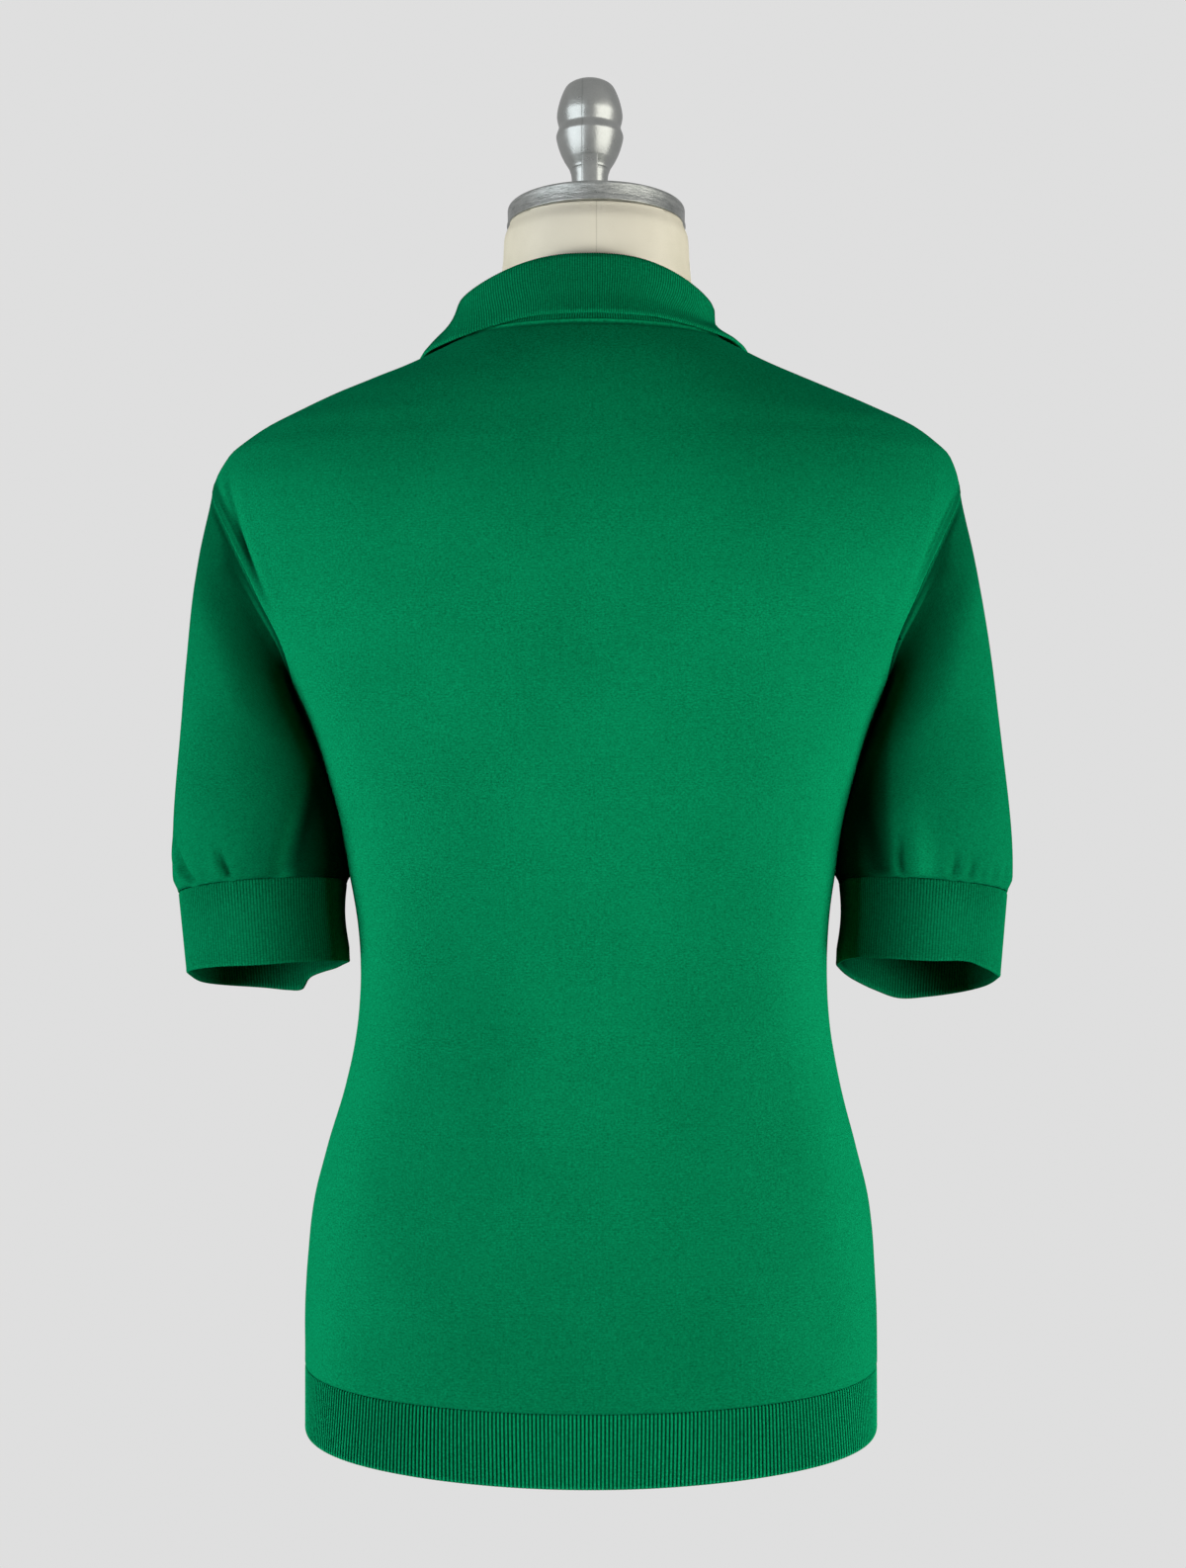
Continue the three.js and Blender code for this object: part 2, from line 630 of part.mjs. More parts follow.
function cuffSurface(side, turn, along) {
  const start = tiltedRing(sleeveEnd, side, turn);
  start.z -= seamGap;
  const end = tiltedRing(side > 0 ? cuffEnds.left : cuffEnds.right, side, turn);
  return keepClear(start.lerp(end, along), sleeveClearance);
}

// A tube wall on a surface that is a function of the side, the turn and the share along it.
function tubeGeometry(surface, side, shares, columns, thickness) {
  const turns = spread(0, 2 * Math.PI, columns).slice(0, columns);
  if (side < 0) {
    turns.reverse();
  }
  const step = 0.003;
  const outer = shares.map((along) => turns.map((turn) => surface(side, turn, along)));
  const inner = shares.map((along) => turns.map((turn) => {
    const near = THREE.MathUtils.clamp(along, step, 1 - step);
    const around = surface(side, turn + step, near).sub(surface(side, turn - step, near));
    const down = surface(side, turn, near + step).sub(surface(side, turn, near - step));
    const normal = around.cross(down).normalize().multiplyScalar(side);
    return surface(side, turn, along).addScaledVector(normal, -thickness);
  }));
  return wallGeometry(outer, inner, true);
}

const sleeveColumns = 32;
const sleeveShares = [0, 0.1, 0.23, 0.38, 0.53, 0.67, 0.79, 0.89, 0.95, 1];
for (const [name, side] of [['left', 1], ['right', -1]]) {
  const sleeve = tubeGeometry(sleeveSurface, side, sleeveShares, sleeveColumns, jerseyWall);
  const cuff = tubeGeometry(cuffSurface, side, [0, 0.5, 1], sleeveColumns, ribWall);
  addPiece(`sleeve_${name}`, sleeve, materials.jersey);
  addPiece(`cuff_${name}`, cuff, materials.rib);
}

// The collar: one strip of rib that stands up from the neck seam, folds over and falls.

function collarProfile(share) {
  const isLeft = share >= 0;
  const amount = Math.abs(share);
  const turnedAngle = (turn) => Math.PI / 2 - Math.sign(share || 1) * THREE.MathUtils.degToRad(turn);
  const angle = turnedAngle(amount * collarEndTurn);
  const { normal, up } = bodyFrame(angle, neckLevel);
  const footGap = seamGap + 0.15 + 0.6 * smoothstep(amount * collarEndTurn, 150, collarEndTurn);
  const foot = bodyPoint(angle, neckLevel)
    .addScaledVector(normal, -jerseyWall / 2)
    .addScaledVector(up, footGap);

  const width = isLeft ? collarFold.widthLeft : collarFold.widthRight;
  const sideHeight = isLeft ? collarFold.sideLeft : collarFold.sideRight;
  const across = Math.cos(angle);
  const behind = Math.sin(angle);
  const depth = behind >= 0 ? collarFold.back : collarFold.front;
  const rise = behind >= 0
    ? (collarFold.backHeight - sideHeight) * (1 - Math.abs(across) ** collarFold.roundness)
    : (collarFold.frontHeight - sideHeight) * behind * behind;
  const radius = 1 / Math.hypot(across / width, behind / depth);
  const outward = new THREE.Vector3(Math.cos(angle), behind, 0);
  const lean = bodyRings[bodyRings.length - 1].lean;
  const fold = outward.clone().multiplyScalar(radius);
  fold.x += lean;
  fold.z = sideHeight + rise - collarFoldRadius;

  const edgeRow = smoothRow(collarEdge, 'share', amount);
  const edgeAngle = turnedAngle(edgeRow.turn);
  const edgeLevel = isLeft ? edgeRow.levelLeft : edgeRow.levelRight;
  const edge = bodyOut(edgeAngle, edgeLevel, edgeRow.lift);

  const foldInner = fold.clone().addScaledVector(outward, -collarFoldRadius);
  const foldOuter = fold.clone().addScaledVector(outward, collarFoldRadius);
  const upright = new THREE.Vector3(0, 0, 1);
  const standHeight = Math.max(foldInner.z - foot.z, 1);
  const points = spread(0, 1, 3).map((t) => bezier(
    foot,
    foot.clone().addScaledVector(up, standHeight * 0.1),
    foldInner.clone().addScaledVector(upright, -standHeight * 0.4),
    foldInner,
    t,
  ));
  for (const degrees of [130, 90, 50]) {
    const bend = THREE.MathUtils.degToRad(degrees);
    points.push(fold.clone()
      .addScaledVector(outward, collarFoldRadius * Math.cos(bend))
      .addScaledVector(upright, collarFoldRadius * Math.sin(bend)));
  }
  const leafLength = foldOuter.distanceTo(edge);
  const edgeFrame = bodyFrame(edgeAngle, edgeLevel);
  const toSide = smoothstep(amount, 0, 0.3);
  const sideReach = isLeft ? collarDrape.reach : collarDrape.reachRight;
  const reach = THREE.MathUtils.lerp(collarDrape.reach, sideReach, toSide);
  const drape = THREE.MathUtils.lerp(collarDrape.middle, isLeft ? collarDrape.left : collarDrape.right, toSide);
  const fromEdge = foldOuter.clone().sub(edge).normalize().lerp(edgeFrame.up, drape);
  const landing = edge.clone()
    .addScaledVector(fromEdge, leafLength * reach)
    .addScaledVector(edgeFrame.normal, 1);
  const falling = upright.clone().multiplyScalar(-leafLength * (reach - 0.05)).addScaledVector(outward, 0.6);
  const straight = edge.clone().sub(foldOuter).multiplyScalar(0.4);
  const leaving = falling.lerp(straight, isLeft ? collarDrape.straightLeft * toSide : 0).add(foldOuter);
  spread(0, 1, 4).forEach((t) => {
    points.push(keepAbove(bezier(foldOuter, leaving, landing, edge, t), edgeRow.lift));
  });
  return { points, footNormal: normal };
}

// The collar's middle surface is thickened to both sides of its profile.
function collarGeometry() {
  const turns = spreadRound(0, 2 * Math.PI, 2 * panelColumns)
    .map((angle) => (450 - THREE.MathUtils.radToDeg(angle)) % 360)
    .map((turn) => (turn > 180 ? turn - 360 : turn));
  const inside = turns.slice(0, -1).filter((turn) => Math.abs(turn) < collarEndTurn - 2);
  const ordered = [collarEndTurn, ...inside.sort((a, b) => b - a), -collarEndTurn];
  const columns = ordered.length - 1;
  const profiles = ordered.map((turn) => collarProfile(turn / collarEndTurn));
  const lines = profiles.map(({ points }) => points);
  const rows = lines[0].length;
  const outer = [];
  const inner = [];
  for (let r = 0; r < rows; r += 1) {
    const outerRow = [];
    const innerRow = [];
    for (let c = 0; c <= columns; c += 1) {
      const around = lines[Math.min(c + 1, columns)][r].clone().sub(lines[Math.max(c - 1, 0)][r]);
      const along = lines[c][Math.min(r + 1, rows - 1)].clone().sub(lines[c][Math.max(r - 1, 0)]);
      const normal = r === 0 ? profiles[c].footNormal : around.cross(along).normalize();
      outerRow.push(lines[c][r].clone().addScaledVector(normal, ribWall / 2));
      innerRow.push(lines[c][r].clone().addScaledVector(normal, -ribWall / 2));
    }
    outer.push(outerRow);
    inner.push(innerRow);
  }
  return wallGeometry(outer, inner, false);
}

addPiece('collar', collarGeometry(), materials.rib);

// The dress form: torso and neck in one, cut off level with the tilted neck cap. Its shoulders are
// set in at the sides, where the sleeves start.
const shoulderInset = 13;

function formPoint(angle, level) {
  const { gap } = smoothRow(formGaps, 'level', level);
  const atSide = Math.max(Math.abs(Math.cos(angle)) - 0.75, 0) / 0.25;
  const atShoulder = smoothstep(level, 450, 530) * (1 - smoothstep(level, 570, 606));
  return bodyOut(angle, level, -(jerseyWall + gap + shoulderInset * atSide * atShoulder));
}

function formGeometry() {
  const columns = 2 * panelColumns;
  const angles = spreadRound(0, 2 * Math.PI, columns).slice(0, columns);
  const hipLevels = [hemBottom, 22, ...spread(hemTop, armhole.bottom, 8)];
  const levels = [...hipLevels, 470, 495, 520, 545, 565, ...shoulderLevels];
  const torso = levels.map((level) => angles.map((angle) => formPoint(angle, level)));
  torso[0].forEach((point) => {
    point.z = 0;
  });
  const neck = neckRings.map((ring) => angles.map((angle) => ringPoint(ring, angle)));
  const whole = toSolid(stackGeometry([...torso, ...neck]));
  const above = new THREE.BoxGeometry(200, 200, 60);
  above.translate(0, 0, 30);
  above.rotateX(capTilt);
  above.translate(capBase.x, capBase.y, capBase.z - seamGap);
  return fromSolid(whole.subtract(toSolid(above)));
}

addPiece('dress_form', formGeometry(), materials.linen);

// The cap and finial share the neck's tilted axis.
const finialOffset = 4;
const neckTop = new THREE.Group();
neckTop.position.copy(capBase);
neckTop.rotation.x = capTilt;
shirt.add(neckTop);

function latheUp(outline, segments) {
  const points = outline.map(([radius, height]) => new THREE.Vector2(radius, height));
  const geometry = new THREE.LatheGeometry(points, segments);
  geometry.rotateX(Math.PI / 2);
  return geometry;
}

const capEdge = 2.6;
const capOutline = [
  [0, 0],
  [capRadius - 0.6, 0],
  [capRadius, 0.6],
  [capRadius, capThickness - capEdge],
  [capRadius - capEdge * 0.3, capThickness - capEdge * 0.3],
  [capRadius - capEdge, capThickness],
  [0, capThickness],
];
const cap = new THREE.Mesh(latheUp(capOutline, 40), materials.metal);
cap.name = 'neck_cap';
neckTop.add(cap);

const finialSeat = capThickness + seamGap;
const finialLathe = latheUp([
  [0, finialSeat],
  [finialFootRadius, finialSeat],
  ...[...finialOutline].reverse().map(({ below, radius }) => [radius, finialSeat + finialHeight - below]),
  [0, finialSeat + finialHeight],
], 24);
const keyBack = 15.5;
const keyBlock = boxSolid(
  new THREE.Vector3(-keyWidth / 2, 2, finialSeat),
  new THREE.Vector3(keyWidth / 2, keyBack, finialSeat + keyHeight),
);
const finial = new THREE.Mesh(fromSolid(toSolid(finialLathe).add(keyBlock)), materials.metal);
finial.name = 'finial';
finial.position.x = finialOffset;
neckTop.add(finial);

export default shirt;
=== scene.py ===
from math import atan2, copysign, cos, degrees, exp, hypot, pi, radians, sin, sqrt

import bmesh
import bpy
from mathutils import Matrix, Vector, kdtree, noise


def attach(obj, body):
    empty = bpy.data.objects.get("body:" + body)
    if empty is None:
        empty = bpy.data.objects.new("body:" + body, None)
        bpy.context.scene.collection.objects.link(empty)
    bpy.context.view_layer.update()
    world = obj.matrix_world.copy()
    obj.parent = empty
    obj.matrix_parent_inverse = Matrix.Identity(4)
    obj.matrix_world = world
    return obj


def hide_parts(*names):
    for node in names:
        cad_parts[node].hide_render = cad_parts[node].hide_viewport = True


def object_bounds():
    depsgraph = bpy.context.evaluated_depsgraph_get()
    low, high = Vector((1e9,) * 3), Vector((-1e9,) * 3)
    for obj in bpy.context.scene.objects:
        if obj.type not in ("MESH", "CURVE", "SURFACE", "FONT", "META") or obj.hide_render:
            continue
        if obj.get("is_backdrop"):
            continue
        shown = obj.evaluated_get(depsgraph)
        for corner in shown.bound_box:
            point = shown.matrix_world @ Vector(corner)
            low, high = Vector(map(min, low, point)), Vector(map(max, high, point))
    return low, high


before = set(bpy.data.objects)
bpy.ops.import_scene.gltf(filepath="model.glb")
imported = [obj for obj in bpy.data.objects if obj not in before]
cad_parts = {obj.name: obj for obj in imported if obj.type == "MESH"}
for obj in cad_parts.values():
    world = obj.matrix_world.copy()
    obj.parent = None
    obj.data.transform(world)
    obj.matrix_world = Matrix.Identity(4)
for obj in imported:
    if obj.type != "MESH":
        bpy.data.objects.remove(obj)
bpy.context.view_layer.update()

# A knitted polo shirt on a dress form, seen from behind. The CAD part is the fixed frame.
# Shapes are worked out in millimetres and stored in metres. +Y is the back of the shirt.

mm = 0.001
scene = bpy.context.scene


def clamp(value, low=0.0, high=1.0):
    return max(low, min(high, value))


def smooth(value, start, end):
    t = clamp((value - start) / (end - start))
    return t * t * (3 - 2 * t)


def bump(value, middle, width):
    return exp(-(((value - middle) / width) ** 2))


def spread(start, end, count):
    return [start + (end - start) * i / count for i in range(count + 1)]


def mixed(a, b, share):
    return a + (b - a) * share


def tableOf(columns, rows):
    return [dict(zip(columns.split(), row)) for row in rows]


def runLengths(points):  # the length of a line of points up to each one
    lengths = [0.0]
    for a, b in zip(points, points[1:]):
        lengths.append(lengths[-1] + (b - a).length)
    return lengths


# Shader toolkit

def operator(operation):  # a method that runs one step of maths on a wire
    def step(self, *others):
        values = dict(enumerate([self, *others]))
        return self.finish.node("ShaderNodeMath", {"operation": operation}, values)
    return step


class Wire:
    __add__ = operator("ADD")
    __sub__ = operator("SUBTRACT")
    __mul__ = operator("MULTIPLY")
    __truediv__ = operator("DIVIDE")
    __abs__ = operator("ABSOLUTE")
    sine = operator("SINE")
    part = operator("FRACT")
    least = operator("MINIMUM")
    most = operator("MAXIMUM")

    def __init__(self, finish, socket):
        self.finish = finish
        self.socket = socket

    def __rsub__(self, other):
        return self.finish.node("ShaderNodeMath", {"operation": "SUBTRACT"}, {0: other, 1: self})

    def ramp(self, low, high, start=0.0, end=1.0):
        limits = {"Value": self, "From Min": low, "From Max": high, "To Min": start, "To Max": end}
        return self.finish.node("ShaderNodeMapRange", {"interpolation_type": "SMOOTHSTEP"}, limits)


class Finish:
    def __init__(self, name):
        self.material = bpy.data.materials.new(name)
        self.material.use_nodes = True
        self.tree = self.material.node_tree
        self.shader = self.tree.nodes["Principled BSDF"]

    def node(self, kind, settings, sockets, output=0):
        made = self.tree.nodes.new(kind)
        for key, value in settings.items():
            setattr(made, key, value)
        for key, value in sockets.items():
            self.plug(made.inputs[key], value)
        return Wire(self, made.outputs[output])

    def plug(self, socket, value):
        if isinstance(value, Wire):
            self.tree.links.new(value.socket, socket)
        else:
            socket.default_value = value

    def set(self, **values):
        for key, value in values.items():
            self.plug(self.shader.inputs[key.replace("_", " ")], value)

    def parts(self, place):
        split = self.node("ShaderNodeSeparateXYZ", {}, {0: place}).socket.node
        return [Wire(self, socket) for socket in split.outputs]

    def uv(self, name):
        place = self.node("ShaderNodeUVMap", {"uv_map": name}, {})
        across, up, _ = self.parts(place)
        return place, across, up

    def objectPlace(self):
        return self.node("ShaderNodeTexCoord", {}, {}, "Object")

    def noise(self, place, scale, detail, roughness):
        sockets = {"Vector": place, "Scale": scale, "Detail": detail, "Roughness": roughness}
        return self.node("ShaderNodeTexNoise", {}, sockets)

    def stretched(self, s, t):
        return self.node("ShaderNodeCombineXYZ", {}, {0: s, 1: t})

    def tint(self, share, dark, light):
        sockets = {0: share, 6: (*dark, 1), 7: (*light, 1)}
        return self.node("ShaderNodeMix", {"data_type": "RGBA"}, sockets, 2)

    def relief(self, height, distance, strength):
        return self.node("ShaderNodeBump", {}, {"Height": height, "Distance": distance, "Strength": strength})


# The shirt's surfaces, the same as the solids have

ringColumns = "side width back front backRise frontRise square lean"
bodyRings = tableOf(ringColumns, [
    (9, 173.4, 116.5, 106, -8, -7, 2.6, 1.2),
    (47, 173.8, 119, 108.5, -3, -3, 2.35, 1.2),
    (90, 173.6, 119, 110, 0, 0, 2.25, 1.2),
    (141, 169.4, 113, 109, 0, 0, 2.2, 1),
    (178, 161, 105.5, 106.5, 0, 0, 2.2, 0.8),
    (214, 151, 98, 104, 0, 0, 2.2, 0),
    (250, 144.2, 92.5, 102.5, 0, 0, 2.2, -0.4),
    (287, 142.4, 90.5, 103, 0, 0, 2.2, -0.4),
    (323, 145, 92, 106, 0, 0, 2.2, 0),
    (365, 153, 97, 111.5, 0, 0, 2.2, 1),
    (402, 161.8, 102.5, 116.5, 0, 0, 2.25, 1.2),
    (438, 173.6, 108, 120.5, 0, 0, 2.3, 1.6),
    (475, 191, 111.5, 122, 0, 0, 2.3, 2.5),
    (510, 212, 112.5, 121.5, 0, -2, 2.3, 3.5),
    (545, 225, 110.5, 119, 0, -8, 2.25, 4),
    (575, 228, 107, 115, 0, -16, 2.15, 4),
    (596, 220.3, 102.5, 110.5, 0, -25, 2.05, 2),
    (605, 211, 99.5, 108, 0, -29, 2, 1.3),
    (614, 198, 96.5, 105, 0, -33, 2, 1),
    (623, 179.6, 93.5, 102, 0, -37, 1.95, 1.4),
    (632, 159.5, 89.5, 98.5, 0, -41, 1.95, 2),
    (641, 137.5, 85, 94.5, 0, -45, 1.95, 1.6),
    (650, 115, 79.5, 90, 0, -49, 2, 1.2),
    (659, 95.5, 72.5, 85, 0, -53, 2.05, 1),
    (668, 78, 64, 80, 1, -56, 2.05, 1),
])
neckRings = tableOf(ringColumns, [
    (668, 75.5, 61.5, 77.5, 1, -56, 2.05, 1),
    (673, 69, 56.5, 67.5, 3, -45, 2.05, -0.5),
    (683, 63, 54, 63, 2, -33, 2, -1),
    (698, 59.5, 54, 61.5, 1, -19, 2, -1.5),
    (715, 57.2, 51.5, 61.5, 0, -8, 2, -2),
    (730, 56.3, 50, 62, 0, -3, 2, -2),
    (752, 54, 46.5, 61.5, 0, 0, 2, -2),
])
hemBottom = 9
hemTop = 47
neckLevel = 668
seamGap = 0.3
jerseyWall = 1.6
ribWall = 2.0
armhole = {"bottom": 445, "top": 575, "back": 52, "front": 60}
armholeMiddle = (armhole["top"] + armhole["bottom"]) / 2
armholeHalf = (armhole["top"] - armhole["bottom"]) / 2
ribRoundness = 0.55
rowCache = {}


def smoothRow(table, key, at):
    mark = (id(table), round(at, 3))
    if mark in rowCache:
        return rowCache[mark]
    i = 0
    while i < len(table) - 2 and at > table[i + 1][key]:
        i += 1
    span = table[i + 1][key] - table[i][key]
    t = clamp((at - table[i][key]) / span)

    def slope(column, k):
        before, after = table[max(k - 1, 0)], table[min(k + 1, len(table) - 1)]
        return (after[column] - before[column]) / (after[key] - before[key]) * span

    row = {}
    for column in table[0]:
        row[column] = (
            (1 + 2 * t) * (1 - t) ** 2 * table[i][column] + t * (1 - t) ** 2 * slope(column, i)
            + t * t * (3 - 2 * t) * table[i + 1][column] + t * t * (t - 1) * slope(column, i + 1)
        )
    rowCache[mark] = row
    return row


def bodyRing(level):
    return smoothRow(bodyRings, "side", level)


def ringPoint(ring, angle):
    across, behind = cos(angle), sin(angle)
    depth = ring["back"] if behind >= 0 else ring["front"]
    reach = abs(across / ring["width"]) ** ring["square"] + abs(behind / depth) ** ring["square"]
    radius = reach ** (-1 / ring["square"])
    rise = (ring["backRise"] if behind >= 0 else ring["frontRise"]) * behind * behind
    return Vector((ring["lean"] + radius * across, radius * behind, ring["side"] + rise))


def bodyPoint(angle, level):
    return ringPoint(bodyRing(level), angle)


def bodyNormal(angle, level):
    upper = min(level + 0.4, neckLevel)
    around = bodyPoint(angle + 0.004, level) - bodyPoint(angle - 0.004, level)
    up = (bodyPoint(angle, upper) - bodyPoint(angle, upper - 0.8)).normalized()
    return around.cross(up).normalized(), up


def bodyOut(angle, level, distance):
    return bodyPoint(angle, level) + bodyNormal(angle, level)[0] * distance


def angleAtDepth(level, depthOut):
    ring = bodyRing(level)
    depth = ring["back"] if depthOut >= 0 else ring["front"]
    across = ring["width"] * (1 - abs(depthOut / depth) ** ring["square"]) ** (1 / ring["square"])
    return atan2(depthOut, across)


def angleAtFront(level, x):
    ring = bodyRing(level)
    offset = x - ring["lean"]
    depth = ring["front"] * (1 - abs(offset / ring["width"]) ** ring["square"]) ** (1 / ring["square"])
    return atan2(-depth, offset)


def armholeAngle(level, isBack):
    height = (level - armholeMiddle) / armholeHalf
    if abs(height) >= 1:
        return 0.0
    share = sqrt(1 - height * height)
    return abs(angleAtDepth(level, armhole["back"] * share if isBack else -armhole["front"] * share))


def armholeAt(side, turn):  # the angle and level of a spot on the armhole's line
    level = armholeMiddle + armholeHalf * sin(turn)
    share = cos(turn)
    angle = angleAtDepth(level, armhole["back" if share >= 0 else "front"] * share)
    return angle if side > 0 else pi - angle, level


def keepAbove(point, height):  # pushes a point out along the body's normal
    angle = atan2(point.y, point.x - bodyRings[-1]["lean"])
    sine = sin(angle)
    level = point.z
    for _ in range(8):
        ring = bodyRing(min(level, neckLevel))
        level = point.z - (ring["backRise"] if sine >= 0 else ring["frontRise"]) * sine * sine
    if level > neckLevel:
        return point
    normal = bodyNormal(angle, level)[0]
    above = (point - bodyPoint(angle, level)).dot(normal)
    return point + normal * max(height - above, 0)


def bezier(a, b, c, d, t):
    return a * (1 - t) ** 3 + b * (3 * t * (1 - t) ** 2) + c * (3 * t * t * (1 - t)) + d * t ** 3


# From a grid of places to a piece

def addMesh(name, bm, finish):
    mesh = bpy.data.meshes.new(name)
    bm.to_mesh(mesh)
    bm.free()
    mesh.materials.append(finish.material)
    made = bpy.data.objects.new(name, mesh)
    scene.collection.objects.link(made)
    return made


def makePiece(name, bm, finish, nodes, wall=0.0, flip=False):
    if flip:
        bmesh.ops.reverse_faces(bm, faces=bm.faces)
    piece = addMesh(name, bm, finish)
    piece.data.shade_smooth()
    if wall:
        thick = piece.modifiers.new("wall", "SOLIDIFY")
        thick.thickness = wall * mm
        thick.offset = -1
    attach(piece, "root")
    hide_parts(*nodes)
    return piece


# A grid sheet: place(i, j) gives a point in mm, cloth(i, j) its place on the flat cloth in mm, and
# paintedLightAt(i, j) the painted light and shade kept in the relief attribute.
def gridSheet(columns, rows, place, cloth, closed=False, paintedLightAt=None):
    bm = bmesh.new()
    uvLayer = bm.loops.layers.uv.new("cloth")
    paintedLightLayer = bm.verts.layers.float.new("relief")
    bmesh.ops.create_grid(bm, x_segments=columns, y_segments=rows, size=0.5)
    flat = {}
    for vert in bm.verts:
        i, j = round((vert.co.x + 0.5) * columns), round((vert.co.y + 0.5) * rows)
        flat[vert] = cloth(i, j)
        vert.co = place(i, j) * mm
        vert[paintedLightLayer] = paintedLightAt(i, j) if paintedLightAt else 1.0
    for face in bm.faces:
        for loop in face.loops:
            loop[uvLayer].uv = flat[loop.vert]
    if closed:
        bmesh.ops.remove_doubles(bm, verts=bm.verts, dist=1e-6)
    bm.normal_update()
    return bm


def evenAngles(level, start, end, shares):  # angles at even lengths along a ring
    ring = bodyRing(level)
    steps = 240
    marks = spread(start, end, steps)
    lengths = runLengths([ringPoint(ring, a) for a in marks])
    angles, k = [], 0
    for share in shares:
        target = share * lengths[-1]
        while k < steps - 1 and lengths[k + 1] < target:
            k += 1
        part = (target - lengths[k]) / max(lengths[k + 1] - lengths[k], 1e-9)
        angles.append(mixed(marks[k], marks[k + 1], part))
    return angles, lengths[-1]


def ribHeight(phase):  # 1 on a rib, 0 in the narrow valley between two
    return (0.5 + 0.5 * cos(2 * pi * phase)) ** ribRoundness


# A ribbed strip with its thickness made: loop rows are (row on the skin, out, rib depth, painted light) and
# go down the outside, round the edge and back up the inside. Its painted light, with painted shade in the rib
# valleys and shade(i), goes to the relief attribute.
def ribbedStrip(columns, perRib, loop, skin, cloth, closed, shade=lambda i: 0.0, sharp=1.0):
    known = {}

    def place(i, j):
        row, out, depth, _ = loop[j % len(loop)]
        if closed:
            i = i % columns
        if (i, row) not in known:
            known[i, row] = skin(i, row)
        point, normal = known[i, row]
        return point + normal * (out - depth * (1 - ribHeight(i / perRib)))

    def light(i, j):
        return ribHeight(i / perRib) ** sharp + loop[j % len(loop)][3] - shade(i)

    def flat(i, j):
        return cloth(i, loop[j % len(loop)][0])

    bm = gridSheet(columns, len(loop), place, flat, closed=True, paintedLightAt=light)
    closeHoles(bm)
    return bm


def faceOut(bm):
    bmesh.ops.recalc_face_normals(bm, faces=bm.faces)


def closeHoles(bm):
    ends = [edge for edge in bm.edges if edge.is_boundary]
    if ends:
        bmesh.ops.holes_fill(bm, edges=ends, sides=0)
    faceOut(bm)


def cutAt(bm, spot, direction, clear=False):
    everything = bm.verts[:] + bm.edges[:] + bm.faces[:]
    bmesh.ops.bisect_plane(bm, geom=everything, plane_co=spot, plane_no=direction, clear_outer=clear)


# Finishes

knitLook = {
    "dark": (0.0008, 0.108, 0.038),
    "light": (0.0022, 0.265, 0.104),
    "sheen": (0.0, 0.75, 0.35, 1),
    "stitch": 0.22,
    "mottle": 0.5,
    "broad": 0.3,
    "fibre": 1.1,
    "yarn": 0.9,
    "darker": 1.0,
    "least": 0.02,             # of the colour, left at the bottom of a valley
}


# The relief attribute holds painted light and shade and scales the colour by it: 1 on a rib or on lit cloth,
# less where painted shade falls in valleys, folds and beside the body.
def knitFinish(name, wale, course, depth, shading=1.0, paintedLight=1.0):
    look = knitLook
    finish = Finish(name)
    place, s, t = finish.uv("cloth")
    across = (s / wale).part() * 2 - 1
    leg = (abs(across) * pi).sine()
    chain = ((t / course + abs(across) * 0.5).part() * pi).sine()
    stitch = leg * 0.55 + chain * 0.45
    mottle = finish.noise(place, 0.22, 3.0, 0.6)
    broad = finish.noise(place, 0.018, 2.0, 0.5)
    fibre = finish.noise(place, 0.85, 1.0, 0.5)
    yarn = finish.noise(finish.stretched(s * 0.5, t * 1.2), 1.0, 1.0, 0.5)
    share = stitch * look["stitch"] + mottle * look["mottle"] + broad * look["broad"]
    share = share + fibre * look["fibre"] + yarn * look["yarn"] - look["darker"]
    share = share.most(0.0).least(1.0)
    # painted light and shade, read from the relief attribute
    relief = finish.node("ShaderNodeAttribute", {"attribute_name": "relief"}, {}, "Fac")
    dark, light = ([value * paintedLight for value in look[end]] for end in ("dark", "light"))
    scale = (1 - (1 - relief) * shading).most(look["least"])
    colour = {0: finish.tint(share, dark, light), "Scale": scale}
    finish.set(
        Base_Color=finish.node("ShaderNodeVectorMath", {"operation": "SCALE"}, colour),
        Roughness=share * 0.12 + 0.6,
        Normal=finish.relief(stitch + fibre * 0.5, depth * mm, 0.6),
        Specular_IOR_Level=0.0,
        Sheen_Weight=0.1,
        Sheen_Roughness=0.45,
        Sheen_Tint=look["sheen"],
    )
    return finish


# The fifth number is how strongly painted shade darkens the valleys, the sixth is paintedLight, a painted
# brightness factor: cuffRib is the rib painted darker, a shaded copy, and hemRib is lifted so that its
# stronger painted valley shade keeps its mean colour.
jersey = knitFinish("fineJersey", 1.25, 1.1, 0.25)
rib = knitFinish("greenRib", 1.9, 1.1, 0.15, 0.8, 1.03)
hemRib = knitFinish("hemRib", 1.9, 1.1, 0.15, 0.95, 1.43)
cuffRib = knitFinish("cuffRib", 1.9, 1.1, 0.15, 0.42, 0.78)

linenLook = {
    "around": 70.0,            # radius of the flat measure
    "paintedSideShade": 0.8,               # how much darker the sides are painted, painted shade
    "dark": (0.43, 0.40, 0.30),
    "light": (0.70, 0.66, 0.54),
}
linenLook["centreBack"] = linenLook["around"] * pi / 2


